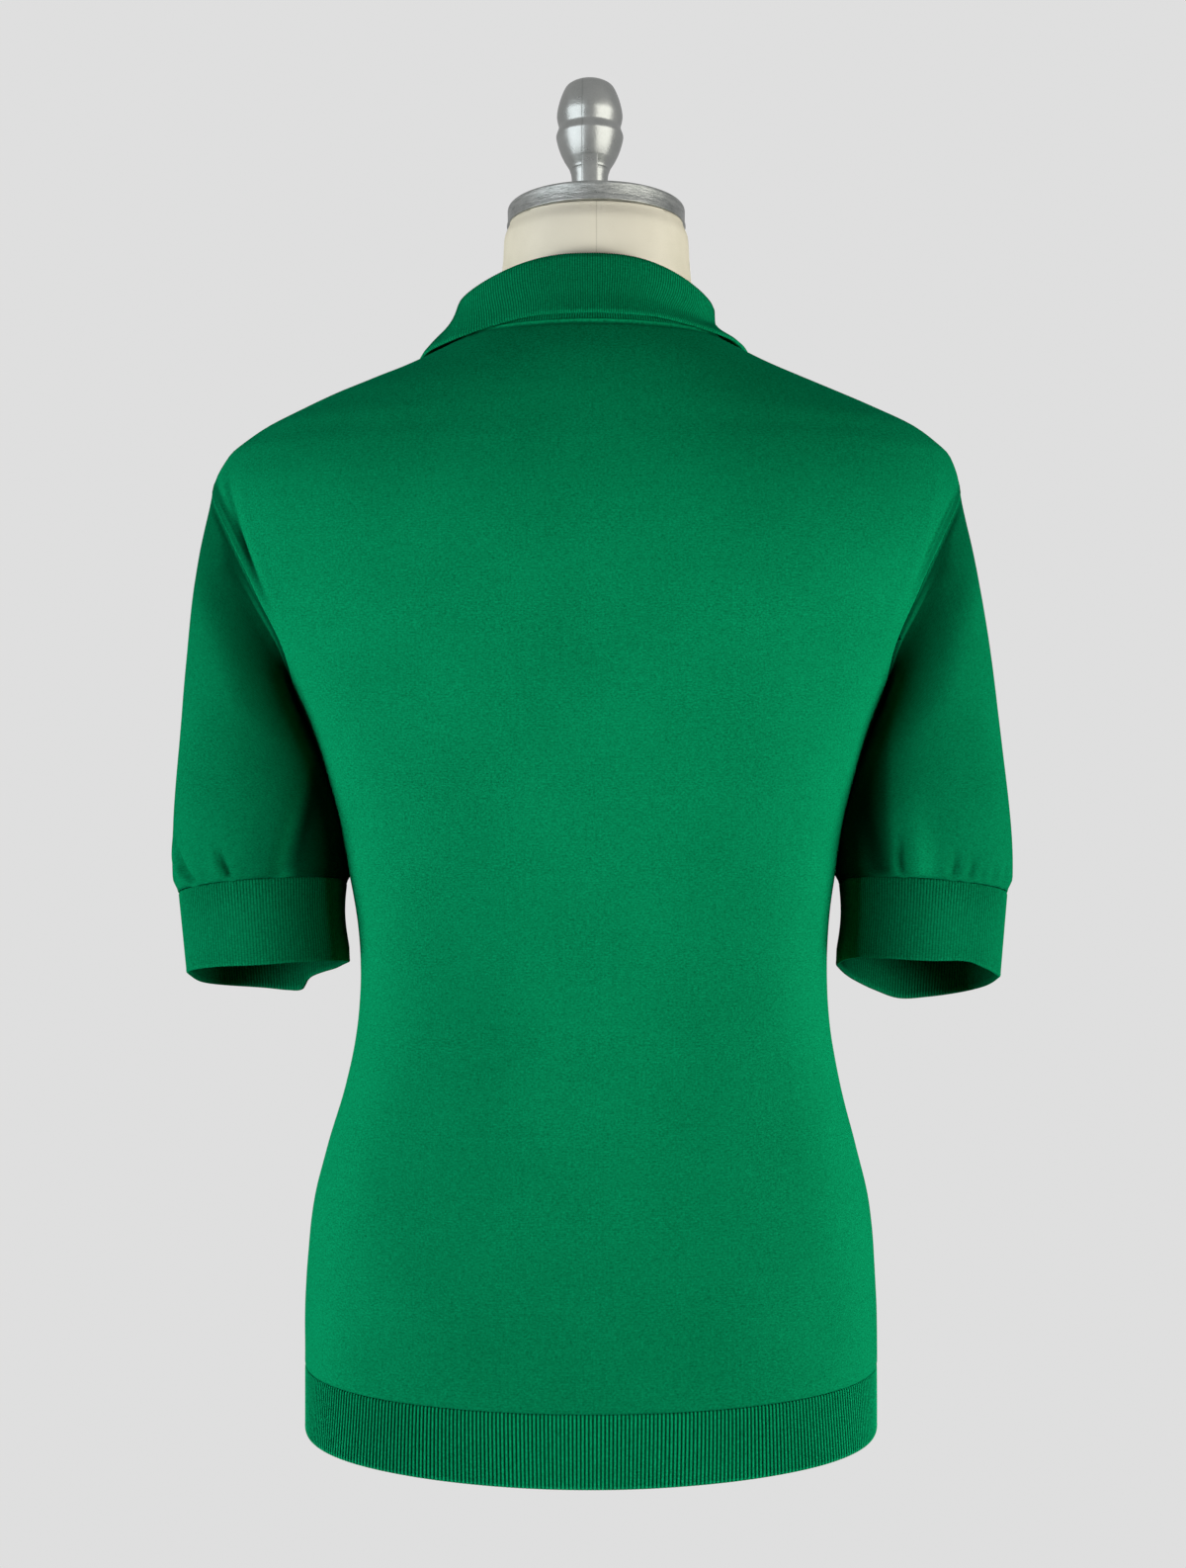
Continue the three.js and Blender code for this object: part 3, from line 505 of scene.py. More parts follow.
def linenFinish():
    finish = Finish("naturalLinen")
    place, s, t = finish.uv("cloth")
    slubs = finish.noise(place, 0.9, 3.0, 0.6)
    warp = ((s / 0.75 + slubs * 0.5) * 2 * pi).sine()
    weft = ((t / 0.8 + slubs * 0.5) * 2 * pi).sine()
    weave = warp * weft * 0.5 + 0.5
    wash = finish.noise(place, 0.035, 3.0, 0.55)
    share = (weave * 0.3 + slubs * 0.3 + wash * 0.6 - 0.1).most(0.0).least(1.0)
    fromBack = abs(s - linenLook["centreBack"])
    seam = fromBack.ramp(0.15, 0.75, 1.0, 0.0)
    # painted shade: the sides are painted darker, away from the centre back
    paintedSideShade = (fromBack / linenLook["centreBack"]).ramp(0.25, 0.95) * linenLook["paintedSideShade"]
    share = (share - seam * 0.55 - paintedSideShade).most(-0.6)
    finish.set(
        Base_Color=finish.tint(share + 0.6, linenLook["dark"], linenLook["light"]),
        Roughness=share * 0.1 + 0.8,
        Normal=finish.relief(weave + slubs * 0.6, 0.12 * mm, 0.5),
        Specular_IOR_Level=0.15,
    )
    return finish


linen = linenFinish()


finialLook = {
    "height": 81.0,
    "offset": 4.0,
    "keyWidth": 10.0,
    "keyHeight": 30.0,
    "keyDepth": 15.5,
    "mouldLine": 6.5,
}
castLook = {"dark": (0.34, 0.36, 0.345), "light": (0.62, 0.63, 0.615), "brushDepth": 0.9, "grainDepth": 0.16}


def castFinish(name, brushed):
    finish = Finish(name)
    place = finish.objectPlace()
    grain = finish.noise(place, 900.0, 3.0, 0.6)
    cloud = finish.noise(place, 60.0, 3.0, 0.55)
    if brushed:
        _, s, t = finish.uv("turned")
        lines = finish.noise(finish.stretched(s * 0.11, t * 0.6), 1.0, 4.0, 0.65)
        height = lines + grain * 0.5
        share = lines * 2.2 + cloud * 0.8 + grain - 1.55
        rough = lines * 0.34 + 0.16
        depth = castLook["brushDepth"]
    else:
        x, _, _ = finish.parts(place)
        mould = abs(x * 1000 - finialLook["mouldLine"]).ramp(0.1, 0.7, 1.0, 0.0)
        height = cloud * 0.6 + grain * 0.9 - mould * 0.5
        share = cloud * 0.7 + grain * 0.4 - mould * 0.3
        rough = cloud * 0.14 + 0.22
        depth = castLook["grainDepth"]
    finish.set(
        Base_Color=finish.tint(share.most(0.0).least(1.0), castLook["dark"], castLook["light"]),
        Roughness=rough,
        Normal=finish.relief(height, depth * mm, 0.55),
        Metallic=1.0,
    )
    return finish


brushedCast = castFinish("brushedCast", True)
polishedCast = castFinish("polishedCast", False)


def resinFinish():
    finish = Finish("dyedResin")
    cloud = finish.noise(finish.objectPlace(), 260.0, 3.0, 0.6)
    finish.set(
        Base_Color=finish.tint(cloud, (0.004, 0.09, 0.035), (0.01, 0.19, 0.08)),
        Roughness=cloud * 0.12 + 0.22,
        Normal=finish.relief(cloud, 0.02 * mm, 0.4),
    )
    return finish


resin = resinFinish()
print("finishes made")


# Body panels

panelLook = {
    "columnsInside": 118,      # across the middle of a panel
    "columnsEdge": 22,         # fine columns beside each armhole
    "edgeWidth": 17.0,
    "bandWidth": 6.6,          # the raised, linked seam beside the armhole
    "bandHeight": 0.55,
    "bandRidge": 0.5,
    "unevenness": 0.35,
    "gather": 0.55,            # puckers just above the hem's seam
    "hemShade": 0.2,
    "shoulderShade": 0.14,
    "rightShade": 0.12,
    "waistShade": 0.1,
    "neckLight": 0.35,
    "neckShade": 0.3,
    "stripWidth": {1: 11.0, -1: 6.5},   # the strip of painted shade beside each armhole
    "stripShade": {1: 0.46, -1: 0.38},
    "seamLight": 0.24,
    "creaseShade": 0.27,
}

# Soft troughs and ridges, each along a line of angles in degrees (90 is the centre back) and levels.
bodyCreases = tableOf("width out line", [
    (2.6, -1.7, [(8.7, 585), (11.2, 574), (13.2, 560), (14.7, 545), (15.7, 530), (16.4, 516), (17, 500)]),
    (4.5, 1.2, [(12.7, 590), (14.9, 568), (16.6, 550), (18, 533), (19.2, 515), (19.4, 494), (20, 470)]),
    (4.5, 1, [(168.5, 592), (166.5, 572), (164.5, 556), (162.8, 538), (161.5, 515), (160.5, 490),
              (159.5, 465)]),
    (3, -0.3, [(140.3, 528), (143.8, 450), (150, 370), (152.9, 335)]),
    (3.5, 0.25, [(152.5, 290), (151.8, 220), (149, 160)]),
    (9, -0.35, [(66, 150), (70, 80)]),
    (8, 0.3, [(112, 118), (118, 62)]),
    (10, -0.8, [(-40, 560), (-62, 520)]),
    (10, -0.8, [(-140, 560), (-118, 520)]),
    (12, 0.9, [(-24, 470), (-50, 450)]),
    (12, 0.9, [(-156, 470), (-130, 450)]),
    (14, 0.7, [(-60, 250), (-35, 180)]),
    (14, -0.7, [(-120, 240), (-150, 175)]),
])


def creaseLines(table):
    lines = []
    for row in table:
        points = [bodyPoint(radians(angle), level) for angle, level in row["line"]]
        middle = sum(points, Vector()) / len(points)
        reach = max((p - middle).length for p in points) + 2.5 * row["width"]
        lines.append((points, row["width"], row["out"], middle, reach))
    return lines


def lineShift(point, lines):
    shift = 0.0
    for points, width, out, middle, reach in lines:
        if (point - middle).length > reach:
            continue
        nearest, where = 1e9, 0.0
        for k, (a, b) in enumerate(zip(points, points[1:])):
            along = b - a
            t = clamp((point - a).dot(along) / along.length_squared)
            distance = (point - a - along * t).length
            if distance < nearest:
                nearest, where = distance, (k + t) / (len(points) - 1)
        shift += out * bump(nearest, 0, width) * sin(pi * clamp(where, 0.02, 0.98)) ** 0.6
    return shift


bodyLines = creaseLines(bodyCreases)
armholeTree = {}
armholeSpots = 361
for side in (1, -1):
    tree = kdtree.KDTree(armholeSpots)
    for k in range(armholeSpots):
        tree.insert(bodyPoint(*armholeAt(side, radians(k))), k)
    tree.balance()
    armholeTree[side] = tree


def seamBand(distance, width, height, ridge):  # a raised band with a ridge along each edge
    if distance > width + 4:
        return 0.0
    flat = height * (1 - smooth(distance, width - 0.6, width + 0.9)) * smooth(distance, -0.3, 0.9)
    edges = ridge * (bump(distance, 1.1, 0.7) + bump(distance, width - 0.3, 0.75))
    hollow = -0.5 * bump(distance, width + 2.2, 1.3)
    return flat + edges + hollow


def bodyShift(point, angle, level):
    look = panelLook
    shift = lineShift(point, bodyLines)
    shift += look["unevenness"] * noise.noise(point * 0.018) + 0.12 * noise.noise(point * 0.06)
    if 430 < level < 592:
        distance = armholeTree[1 if point.x > 0 else -1].find(point)[2]
        fade = smooth(level, 498, 546) * (1 - 0.7 * smooth(level, 560, 574))
        shift += seamBand(distance, look["bandWidth"], look["bandHeight"], look["bandRidge"]) * fade
    above = level - hemTop
    if above < 26:
        gather = noise.noise(Vector((angle * 26, 0.3, 4.0)))
        gather += 0.6 * noise.noise(Vector((angle * 60, 2.3, 1.0)))
        shift += look["gather"] * gather * exp(-above / 7) * smooth(above, 0, 3)
        shift -= 0.35 * (1 - smooth(above, 0, 1.8))
    below = neckLevel - level
    if below < 12:
        shift += 0.8 * bump(below, 0.8, 0.7) - 0.35 * bump(below, 2.6, 0.9)
    return shift


def panelRows():
    rows = spread(hemTop + seamGap, hemTop + 12, 14)
    rows += spread(hemTop + 12, armhole["bottom"], 118)[1:]
    rows += [armholeMiddle - armholeHalf * cos(pi * k / 44) for k in range(1, 45)]
    rows += spread(armhole["top"], 640, 22)[1:]
    rows += spread(640, 663, 20)[1:] + spread(663, neckLevel, 14)[1:]
    return rows


def panelShares(length):  # finer columns near both edges
    edge = panelLook["edgeWidth"] / length
    left = spread(0, edge, panelLook["columnsEdge"])
    middle = spread(edge, 1 - edge, panelLook["columnsInside"])[1:]
    return left + middle + [1 - share for share in reversed(left[:-1])]


def buildPanel(isBack):
    rows = panelRows()
    table = []
    for level in rows:
        edge = armholeAngle(level, isBack)
        halfGap = seamGap / 2 / bodyRing(level)["width"]
        start = (0 if isBack else pi) + edge + halfGap
        end = (pi if isBack else 2 * pi) - edge - halfGap
        length = evenAngles(level, start, end, [1])[1]
        table.append((evenAngles(level, start, end, panelShares(length))[0], length))

    def place(i, j):
        angle, level = table[j][0][i], rows[j]
        point = bodyPoint(angle, level)
        return point + bodyNormal(angle, level)[0] * bodyShift(point, angle, level)

    shares = [panelShares(length) for _, length in table]

    def cloth(i, j):
        return (shares[j][i] - 0.5) * table[j][1], rows[j]

    # painted light and shade for each point: darker towards the hem, shoulders, right side and waist, a
    # painted highlight and shadow under the neck seam, a painted shaded strip and highlight beside each
    # armhole, and painted shade along the armhole crease
    def paintedLight(i, j):
        angle, level = table[j][0][i], rows[j]
        look = panelLook
        below = neckLevel - level
        across = cos(angle)
        middle = mixed(0.4, 1, sin(angle) ** 2)
        light = 1 - look["hemShade"] * middle * (1 - smooth(level, 30, 230))
        light -= look["shoulderShade"] * smooth(level, 520, 600)
        light -= look["rightShade"] * smooth(level, 490, 590) * smooth(-across, 0.3, 0.8)
        waist = smooth(abs(across), 0.25, 0.6) * (1 - smooth(abs(across), 0.8, 0.97))
        light -= look["waistShade"] * bump(level, 230, 130) * waist
        light += look["neckLight"] * bump(below, 0.8, 0.8) - look["neckShade"] * bump(below, 2.6, 0.9)
        if 470 < level < 590:
            side = 1 if across > 0 else -1
            point = bodyPoint(angle, level)
            distance = armholeTree[side].find(point)[2]
            width = look["stripWidth"][side]
            fade = smooth(level, 492, 536)
            strip = smooth(distance, 0.4, 1.8) * (1 - smooth(distance, width - 2.2, width + 1.2))
            light -= look["stripShade"][side] * fade * strip
            light += look["seamLight"] * fade * bump(distance, 0, 1.1)
            light += look["creaseShade"] * lineShift(point, bodyLines[:1])
        return light

    return gridSheet(len(table[0][0]) - 1, len(rows) - 1, place, cloth, paintedLightAt=paintedLight)


backPanel = makePiece("backPanel", buildPanel(True), jersey, ["back_panel"], jerseyWall)
print("back panel made")

placketLook = {
    "slotHalf": 12.5,          # half the width of the slot in the front panel
    "slotBottom": 480.0,
    "width": 30.0,
    "bottom": 470.0,
    "bandGap": 0.55,
    "columns": 24,
    "rows": 90,
    "stitch": 0.22,            # depth of the stitched line along each edge
}


def buildFront():
    bm = buildPanel(False)
    half, bottom = placketLook["slotHalf"], placketLook["slotBottom"]
    cutAt(bm, Vector((half, 0, 0)) * mm, Vector((1, 0, 0)))
    cutAt(bm, Vector((-half, 0, 0)) * mm, Vector((1, 0, 0)))
    cutAt(bm, Vector((0, 0, bottom)) * mm, Vector((0, 0, 1)))
    inside = []
    for face in bm.faces:
        middle = face.calc_center_median() / mm
        if abs(middle.x) < half and middle.z > bottom:
            inside.append(face)
    bmesh.ops.delete(bm, geom=inside, context="FACES")
    return bm


frontPanel = makePiece("frontPanel", buildFront(), jersey, ["front_panel"], jerseyWall)
print("front panel made")


# Ribbed hem

hemLook = {
    "pitch": 2.25,             # from rib to rib
    "depth": 0.6,
    "columns": 6,              # of the mesh for each rib
    "unevenness": 0.3,
    "sharp": 1.8,              # how narrow the ribs' light is
    "shade": 0.07,             # towards both sides
    "leftShade": 0.1,
}


def hemLoop(depth):
    loop = [(1, -0.6, depth * 0.5, -0.1), (0.985, -0.2, depth * 0.8, 0), (0.96, -0.05, depth, 0)]
    loop += [(share, 0, depth, 0) for share in spread(0.92, 0.1, 9)]
    loop += [(0.06, 0.05, depth, 0), (0.03, -0.1, depth * 0.9, 0.2), (0.008, -0.5, depth * 0.7, 0.3)]
    loop += [(0, -1.0, depth * 0.4, 0.2), (0.012, -1.6, 0.1, 0), (0.05, -ribWall, 0.1, -0.3)]
    return loop + [(share, -ribWall, 0.1, -0.4) for share in (0.3, 0.6, 0.9, 1)]


def buildHem(isBack):
    halfGap = seamGap / 2 / bodyRings[0]["width"]
    start = (0 if isBack else pi) + halfGap
    end = (pi if isBack else 2 * pi) - halfGap
    length = evenAngles(hemTop, start, end, [1])[1]
    columns = round(length / hemLook["pitch"]) * hemLook["columns"]
    angles = evenAngles((hemTop + hemBottom) / 2, start, end, spread(0, 1, columns))[0]

    def skin(i, share):
        level = mixed(hemBottom, hemTop, share)
        point = bodyPoint(angles[i], level)
        normal = bodyNormal(angles[i], level)[0]
        return point + normal * hemLook["unevenness"] * noise.noise(point * 0.02), normal

    def cloth(i, share):
        return i / hemLook["columns"] * hemLook["pitch"], mixed(hemBottom, hemTop, share)

    def shade(i):
        across = cos(angles[i])
        return hemLook["shade"] * across ** 2 + hemLook["leftShade"] * max(across, 0) ** 2

    loop = hemLoop(hemLook["depth"])
    return ribbedStrip(columns, hemLook["columns"], loop, skin, cloth, False, shade, hemLook["sharp"])


hemBack = makePiece("hemBack", buildHem(True), hemRib, ["hem_back"])
hemFront = makePiece("hemFront", buildHem(False), hemRib, ["hem_front"])
print("hem made")


# Sleeves and cuffs. A turn of 90 degrees is the outer side, 0 the back and 180 the front.

sleeveLook = {
    "columns": 220,
    "rows": 96,
    "clearance": 0.8,
    "gap": 0.12,
    "bulge": {1: 1.1, -1: 1.2},
    "length": 250,             # of the flat cloth
    "startReach": 30,          # how far the cloth keeps the direction that it leaves the armhole in
    "topReach": 42,            # as much again at the shoulder
    "endReach": 58,
    "ease": 1.5,               # fullness just below the seam
    "valley": 8.0,             # the dip beside the armhole
    "valleyReach": 40.0,
    "swell": 2.5,
    "press": 7.0,              # how far the inner side leans towards the body
    # paintedLight: the sleeves' knit painted darker than the body's, painted shade
    "paintedLight": 0.74,
    "shade": 0.42,             # towards the body
    "shadeTop": {1: 50, -1: 36},
    "shadeReach": {1: 94, -1: 50},
    "ridgePlace": {1: 2, -1: 15},
    "ridgeWidth": {1: 3.5, -1: 7},
    "ridgeLight": {1: 0.3, -1: 0.42},
    "troughShade": {1: 0.22, -1: 0.0},
    "foldShade": {1: 0.46, -1: 0.42},
    "foldPlace": {1: (22, 0.5), -1: (31, 0.3)},
    "seamLight": 0.3,
    "seamShade": 0.33,
    "creaseShade": 0.055,
}
sleeveEnd = {"x": 202.2, "z": 334, "width": 51.2, "back": 49, "front": 51,
             "outerRise": -4, "innerRise": 4, "backRise": 7, "frontRise": -13}
sleeveFolds = {
    1: tableOf("turn depth width start slant", [
        (44, 4.4, 4.5, 0.79, 34), (51, -1.8, 4, 0.82, 34), (14.5, 3.8, 3.6, 0.86, 7),
        (20.5, -1.6, 3.2, 0.87, 8),
        (32, 1.0, 3, 0.93, 4), (4, 0.9, 3, 0.92, 0), (-18, 3.0, 8, 0.5, -32), (-8, -1.2, 6, 0.6, -20),
        (140, 2.6, 14, 0.6, 4), (205, 3, 16, 0.5, 0), (112, 1.2, 8, 0.75, 6),
    ]),
    -1: tableOf("turn depth width start slant", [
        (-20.5, 3.4, 3.4, 0.8, 0), (-26.5, -1.4, 3, 0.84, 0), (-8, -2.0, 7, 0.8, 0), (11.5, 2.4, 3, 0.87, 2),
        (5, -0.9, 2.6, 0.9, 0), (23.5, 2.2, 3, 0.88, 2), (33, 1.2, 2.6, 0.92, 0), (45, 1.5, 3, 0.91, -3),
        (60, 1.6, 3.4, 0.91, -3), (-36, 3.6, 9, 0.5, -12), (128, 2.6, 14, 0.6, 4), (190, 3, 16, 0.5, 0),
        (160, 1.4, 7, 0.85, 0),
    ]),
}
# The cuff's open edge: height in mm and reach, a factor on the ring, at turns all round.
cuffEdges = {
    1: tableOf("turn z reach", [
        (0, 289.7, 1.0), (30, 288.2, 1.0), (60, 284.5, 1.0), (90, 279.8, 0.97), (115, 273.5, 0.98),
        (140, 270.0, 1.0), (170, 267.3, 1.02), (186, 265.8, 1.04), (197, 266.6, 1.03), (202, 272.6, 1.01),
        (207, 275.4, 0.99), (218, 278.4, 0.97), (232, 281.2, 0.96), (250, 285.0, 0.96), (270, 288.0, 1.0),
        (300, 290.5, 1.0), (330, 291.0, 1.0), (360, 289.7, 1.0),
    ]),
    -1: tableOf("turn z reach", [
        (0, 292.2, 1.0), (28, 291.4, 1.0), (45, 286.5, 1.02), (65, 281.5, 1.0), (90, 277.8, 0.99),
        (115, 271.0, 1.0), (140, 265.5, 1.02), (165, 261.6, 1.04), (185, 260.6, 1.05), (205, 266.5, 1.02),
        (225, 273.5, 1.0), (250, 281.5, 0.98), (270, 286.5, 1.0), (300, 292.0, 0.97), (330, 293.0, 0.99),
        (360, 292.2, 1.0),
    ]),
}
cuffRing = {"x": 199.3, "width": 50.2, "back": 47, "front": 51}


def keepClear(point, clearance):
    ring = bodyRing(clamp(point.z, hemBottom, neckLevel))
    depth = (ring["back"] if point.y >= 0 else ring["front"]) + clearance
    across = (point.x - ring["lean"]) / (ring["width"] + clearance)
    reach = abs(across) ** ring["square"] + abs(point.y / depth) ** ring["square"]
    if reach >= 1:
        return point
    grow = reach ** (-1 / ring["square"])
    return Vector((ring["lean"] + (point.x - ring["lean"]) * grow, point.y * grow, point.z))


armholeCache = {}


def armholePoint(side, turn):
    mark = (side, round(turn, 6))
    if mark not in armholeCache:
        angle, level = armholeAt(side, turn)
        point = bodyPoint(angle, level)
        normal = bodyNormal(angle, level)[0]
        point += normal * bodyShift(point, angle, level)
        inward = bodyPoint(0 if side > 0 else pi, armholeMiddle) - point
        inward = (inward - normal * inward.dot(normal)).normalized()
        over = max(-sin(turn), 0) ** 2
        away = (inward * (1 - over) + normal * over).normalized()
        armholeCache[mark] = point + away * sleeveLook["gap"]
    return armholeCache[mark]


def tiltedRing(side, turn):
    ring = sleeveEnd
    outward, behind = sin(turn), cos(turn)
    rise = abs(outward) * (ring["outerRise"] if outward >= 0 else ring["innerRise"])
    rise += abs(behind) * (ring["backRise"] if behind >= 0 else ring["frontRise"])
    y = behind * (ring["back"] if behind >= 0 else ring["front"])
    return Vector((side * (ring["x"] + ring["width"] * outward), y, ring["z"] + rise))


def foldDepth(side, turn, along):
    here = degrees(turn)
    depth = 0.0
    for fold in sleeveFolds[side]:
        middle = fold["turn"] + fold["slant"] * (1 - along) / max(1 - fold["start"], 0.05)
        away = (here - middle + 540) % 360 - 180
        if abs(away) > 4 * fold["width"]:
            continue
        grown = smooth(along, fold["start"], mixed(fold["start"], 0.985, 0.85))
        closing = 1 - smooth(along, 0.975, 1)
        depth += fold["depth"] * grown * closing * bump(away, 0, fold["width"])
    return depth


def sleeveSurface(side, turn, along):
    look = sleeveLook
    start, end = armholePoint(side, turn), tiltedRing(side, turn)
    outside, behind = sin(turn), cos(turn)
    flat = behind ** 2
    top = max(outside, 0)
    leave = Vector((side * (0.1 + 0.03 * top + 0.55 * flat), -0.12 * behind, -1 + 0.35 * flat)).normalized()
    startReach = look["startReach"] + look["topReach"] * top * top + 6 * flat
    arrive = Vector((side * 0.085 * outside, 0, 1)).normalized()
    point = bezier(start, start + leave * startReach, end + arrive * look["endReach"], end, along)
    bulge = look["bulge"][side] * smooth(along, 0.6, 0.9) * (1 - smooth(along, 0.955, 1) * 1.25)
    bulge += look["ease"] * smooth(along, 0, 0.16) * (1 - 0.8 * smooth(along, 0.95, 1))
    wander = 0.5 * noise.noise(point * 0.022 + Vector((side * 7, 0, 0))) * smooth(along, 0, 0.15)
    # the cloth dips beside the armhole and swells again further out
    away = armholeTree[side].find(point)[2]
    lower = smooth(-point.z, -560, -500) * abs(behind) ** 0.5
    sunk = look["valley"] * smooth(away, 0, mixed(2.5, 7, smooth(point.z, 485, 525)))
    sunk *= 1 - smooth(away, 8, look["valleyReach"])
    sunk -= look["swell"] * bump(away, look["valleyReach"], 18)
    point.y -= copysign(1, behind) * sunk * lower * (1 - smooth(along, 0.3, 0.8))
    inner = max(-outside, 0) * smooth(along, 0.05, 0.3) * (1 - smooth(along, 0.75, 1))
    point.x -= side * look["press"] * inner
    point = point + Vector((side * outside, behind, 0)) * (bulge - foldDepth(side, turn, along) + wander)
    return keepClear(point, look["clearance"] * smooth(along, 0, 0.12))


def buildSleeve(side):
    look = sleeveLook
    columns, rows = look["columns"], look["rows"]
    shares = spread(0, 0.9, rows - 26) + spread(0.9, 1, 26)[1:]
    around = runLengths([sleeveSurface(side, 2 * pi * i / columns, 0.7) for i in range(columns + 1)])

    def place(i, j):
        return sleeveSurface(side, 2 * pi * (i % columns) / columns, 1 - shares[j])

    def cloth(i, j):
        return around[i], -look["length"] * (1 - shares[j])

    # painted light and shade for each point: darker near the body, along the fold from the cuff and in the
    # creases, with painted highlights on the fold's ridge and the armhole seam
    def paintedLight(i, j):
        point = place(i, j)
        ring = bodyRing(clamp(point.z, hemBottom, neckLevel))
        square, wide = ring["square"], ring["width"]
        across, depth = abs(point.x - ring["lean"]) / wide, abs(point.y) / ring["back"]
        apart = ((across ** square + depth ** square) ** (1 / square) - 1) * wide
        low = 1 - smooth(point.z, 380, 490)
        near = 1 - smooth(apart, 4, mixed(look["shadeTop"][side], look["shadeReach"][side], low))
        light = 1 - look["shade"] * near
        start, slope = look["foldPlace"][side]   # painted shade of the fold that runs in from the cuff's seam
        edge = clamp(start + slope * (391 - point.z), 10, 43)
        light -= look["foldShade"][side] * low * (1 - smooth(apart, edge - 8, edge))
        fold = low * smooth(-point.z, -400, -352)
        ridge = bump(apart, edge + look["ridgePlace"][side], look["ridgeWidth"][side])
        light += look["ridgeLight"][side] * fold * ridge
        light -= look["troughShade"][side] * fold * bump(apart, edge + 15, 10)
        seam = armholeTree[side].find(point)[2]
        upper = smooth(point.z, 495, 525)
        light += look["seamLight"] * upper * (1 - smooth(seam, 0.6, 1.6))
        light -= look["seamLight"] * (1 - upper) * (1 - smooth(seam, 3.4, 5))
        reach = mixed(18, 7, smooth(point.z, 522, 550))
        deep = smooth(seam, 1.2, 2.8) * (1 - smooth(seam, reach * 0.35, reach))
        light -= look["seamShade"] * upper * (1 - smooth(point.z, 552, 572)) * deep
        crease = foldDepth(side, 2 * pi * i / columns, 1 - shares[j])
        return look["paintedLight"] * (light - look["creaseShade"] * crease)

    return gridSheet(columns, rows, place, cloth, closed=True, paintedLightAt=paintedLight)


cuffLook = {
    "clearance": 2.0, "pitch": 1.85, "depth": 0.55, "columns": 6, "rows": 22,
    "length": 50,
    "steps": 200,              # round the cuff, to measure it
    "waist": 1.8,              # how far the inner side is drawn in, half way down
    "shade": 0.86,             # towards the body
    "shadeTurn": -70,
}


def cuffSurface(side, turn, along):
    start = tiltedRing(side, turn)
    start.z -= seamGap
    edge = smoothRow(cuffEdges[side], "turn", degrees(turn) % 360)
    outward, behind, reach = sin(turn), cos(turn), edge["reach"]
    depth = cuffRing["back"] if behind >= 0 else cuffRing["front"]
    across = cuffRing["x"] + cuffRing["width"] * outward * reach
    point = start.lerp(Vector((side * across, depth * behind * reach, edge["z"])), along)
    inward = max(-outward, 0) ** 1.5 * sin(pi * clamp(along / 0.8)) * cuffLook["waist"]
    point.x += side * inward
    return keepClear(point, cuffLook["clearance"])


def cuffLoop():
    depth = cuffLook["depth"]
    loop = [(0, -0.8, depth * 0.8, -0.2), (0.012, -0.3, depth, 0), (0.03, 0, depth, 0)]
    for share in spread(0.06, 0.93, cuffLook["rows"]):
        loop.append((share, 0, depth * mixed(0.3, 1, 1 - smooth(share, 0.05, 0.6)), 0))
    faint = depth * 0.3
    loop += [(0.955, 0.02, faint, 0), (0.975, 0.12, faint, 0.25), (0.99, 0.0, faint, 0.4)]
    loop += [(0.998, -0.45, faint, 0.4), (1, -1.0, faint, 0.3)]
    loop += [(0.995, -1.6, 0.2, 0), (0.98, -ribWall, 0.2, -0.1)]
    inside = [(share, -ribWall, 0.35, -0.75) for share in (0.93, 0.85, 0.7, 0.5, 0.3, 0.12, 0.02)]
    return loop + inside + [(0, -1.6, 0.3, -0.5)]


def buildCuff(side):
    steps = cuffLook["steps"]
    length = runLengths([cuffSurface(side, 2 * pi * i / steps, 0.5) for i in range(steps + 1)])[-1]
    columns = round(length / cuffLook["pitch"]) * cuffLook["columns"]

    def skin(i, share):
        turn = 2 * pi * i / columns
        near = clamp(share, 0.01, 0.99)
        around = cuffSurface(side, turn + 0.01, near) - cuffSurface(side, turn - 0.01, near)
        down = cuffSurface(side, turn, near + 0.01) - cuffSurface(side, turn, near - 0.01)
        return cuffSurface(side, turn, share), around.cross(down).normalized() * side

    def cloth(i, share):
        return i / cuffLook["columns"] * cuffLook["pitch"], -cuffLook["length"] * share

    def shade(i):
        turn = degrees(2 * pi * i / columns)
        away = abs((turn - cuffLook["shadeTurn"] + 180) % 360 - 180)
        return cuffLook["shade"] * (1 - smooth(away, 22, 88)) * mixed(0.1, 1, smooth(away, 0, 30))

    return ribbedStrip(columns, cuffLook["columns"], cuffLoop(), skin, cloth, True, shade)


sleeves, cuffs = {}, {}
for side, word in ((1, "Left"), (-1, "Right")):
    low = word.lower()
    bm = buildSleeve(side)
    node = [f"sleeve_{low}"]
    sleeves[side] = makePiece(f"sleeve{word}", bm, jersey, node, jerseyWall, flip=side > 0)
    cuffs[side] = makePiece(f"cuff{word}", buildCuff(side), cuffRib, [f"cuff_{low}"])
print("sleeves and cuffs made")


# Collar

collarLook = {
    "pitch": 1.85, "depth": 0.6, "columns": 4, "radius": 2.3, "endTurn": 176.5,
    "widthLeft": 78.6, "widthRight": 72, "back": 60, "front": 81,
    "sideLeft": 690, "sideRight": 688, "backHeight": 707, "frontHeight": 629, "roundness": 3,
    "drapeLeft": 0.15, "drapeMiddle": 0.45, "drapeRight": 0.88, "straightLeft": 0.6,
    "reach": 0.45, "reachRight": 0.62, "meanRadius": 77,
    "standRows": 8, "bendRows": 8, "leafRows": 22,
    "lines": 160,              # lines worked out round the neck, with the ribs between them
    # soft dents in the leaf: share round the neck, width, place down the leaf, length and height
    "dents": [(-0.47, 0.03, 0.5, 0.22, -1.6), (-0.41, 0.03, 0.3, 0.25, 0.9), (-0.52, 0.025, 0.75, 0.2, 0.8),
              (0.05, 0.3, 0.45, 0.2, -0.7), (0.46, 0.05, 0.8, 0.2, 0.8), (0.55, 0.04, 0.7, 0.25, -0.9)],
}
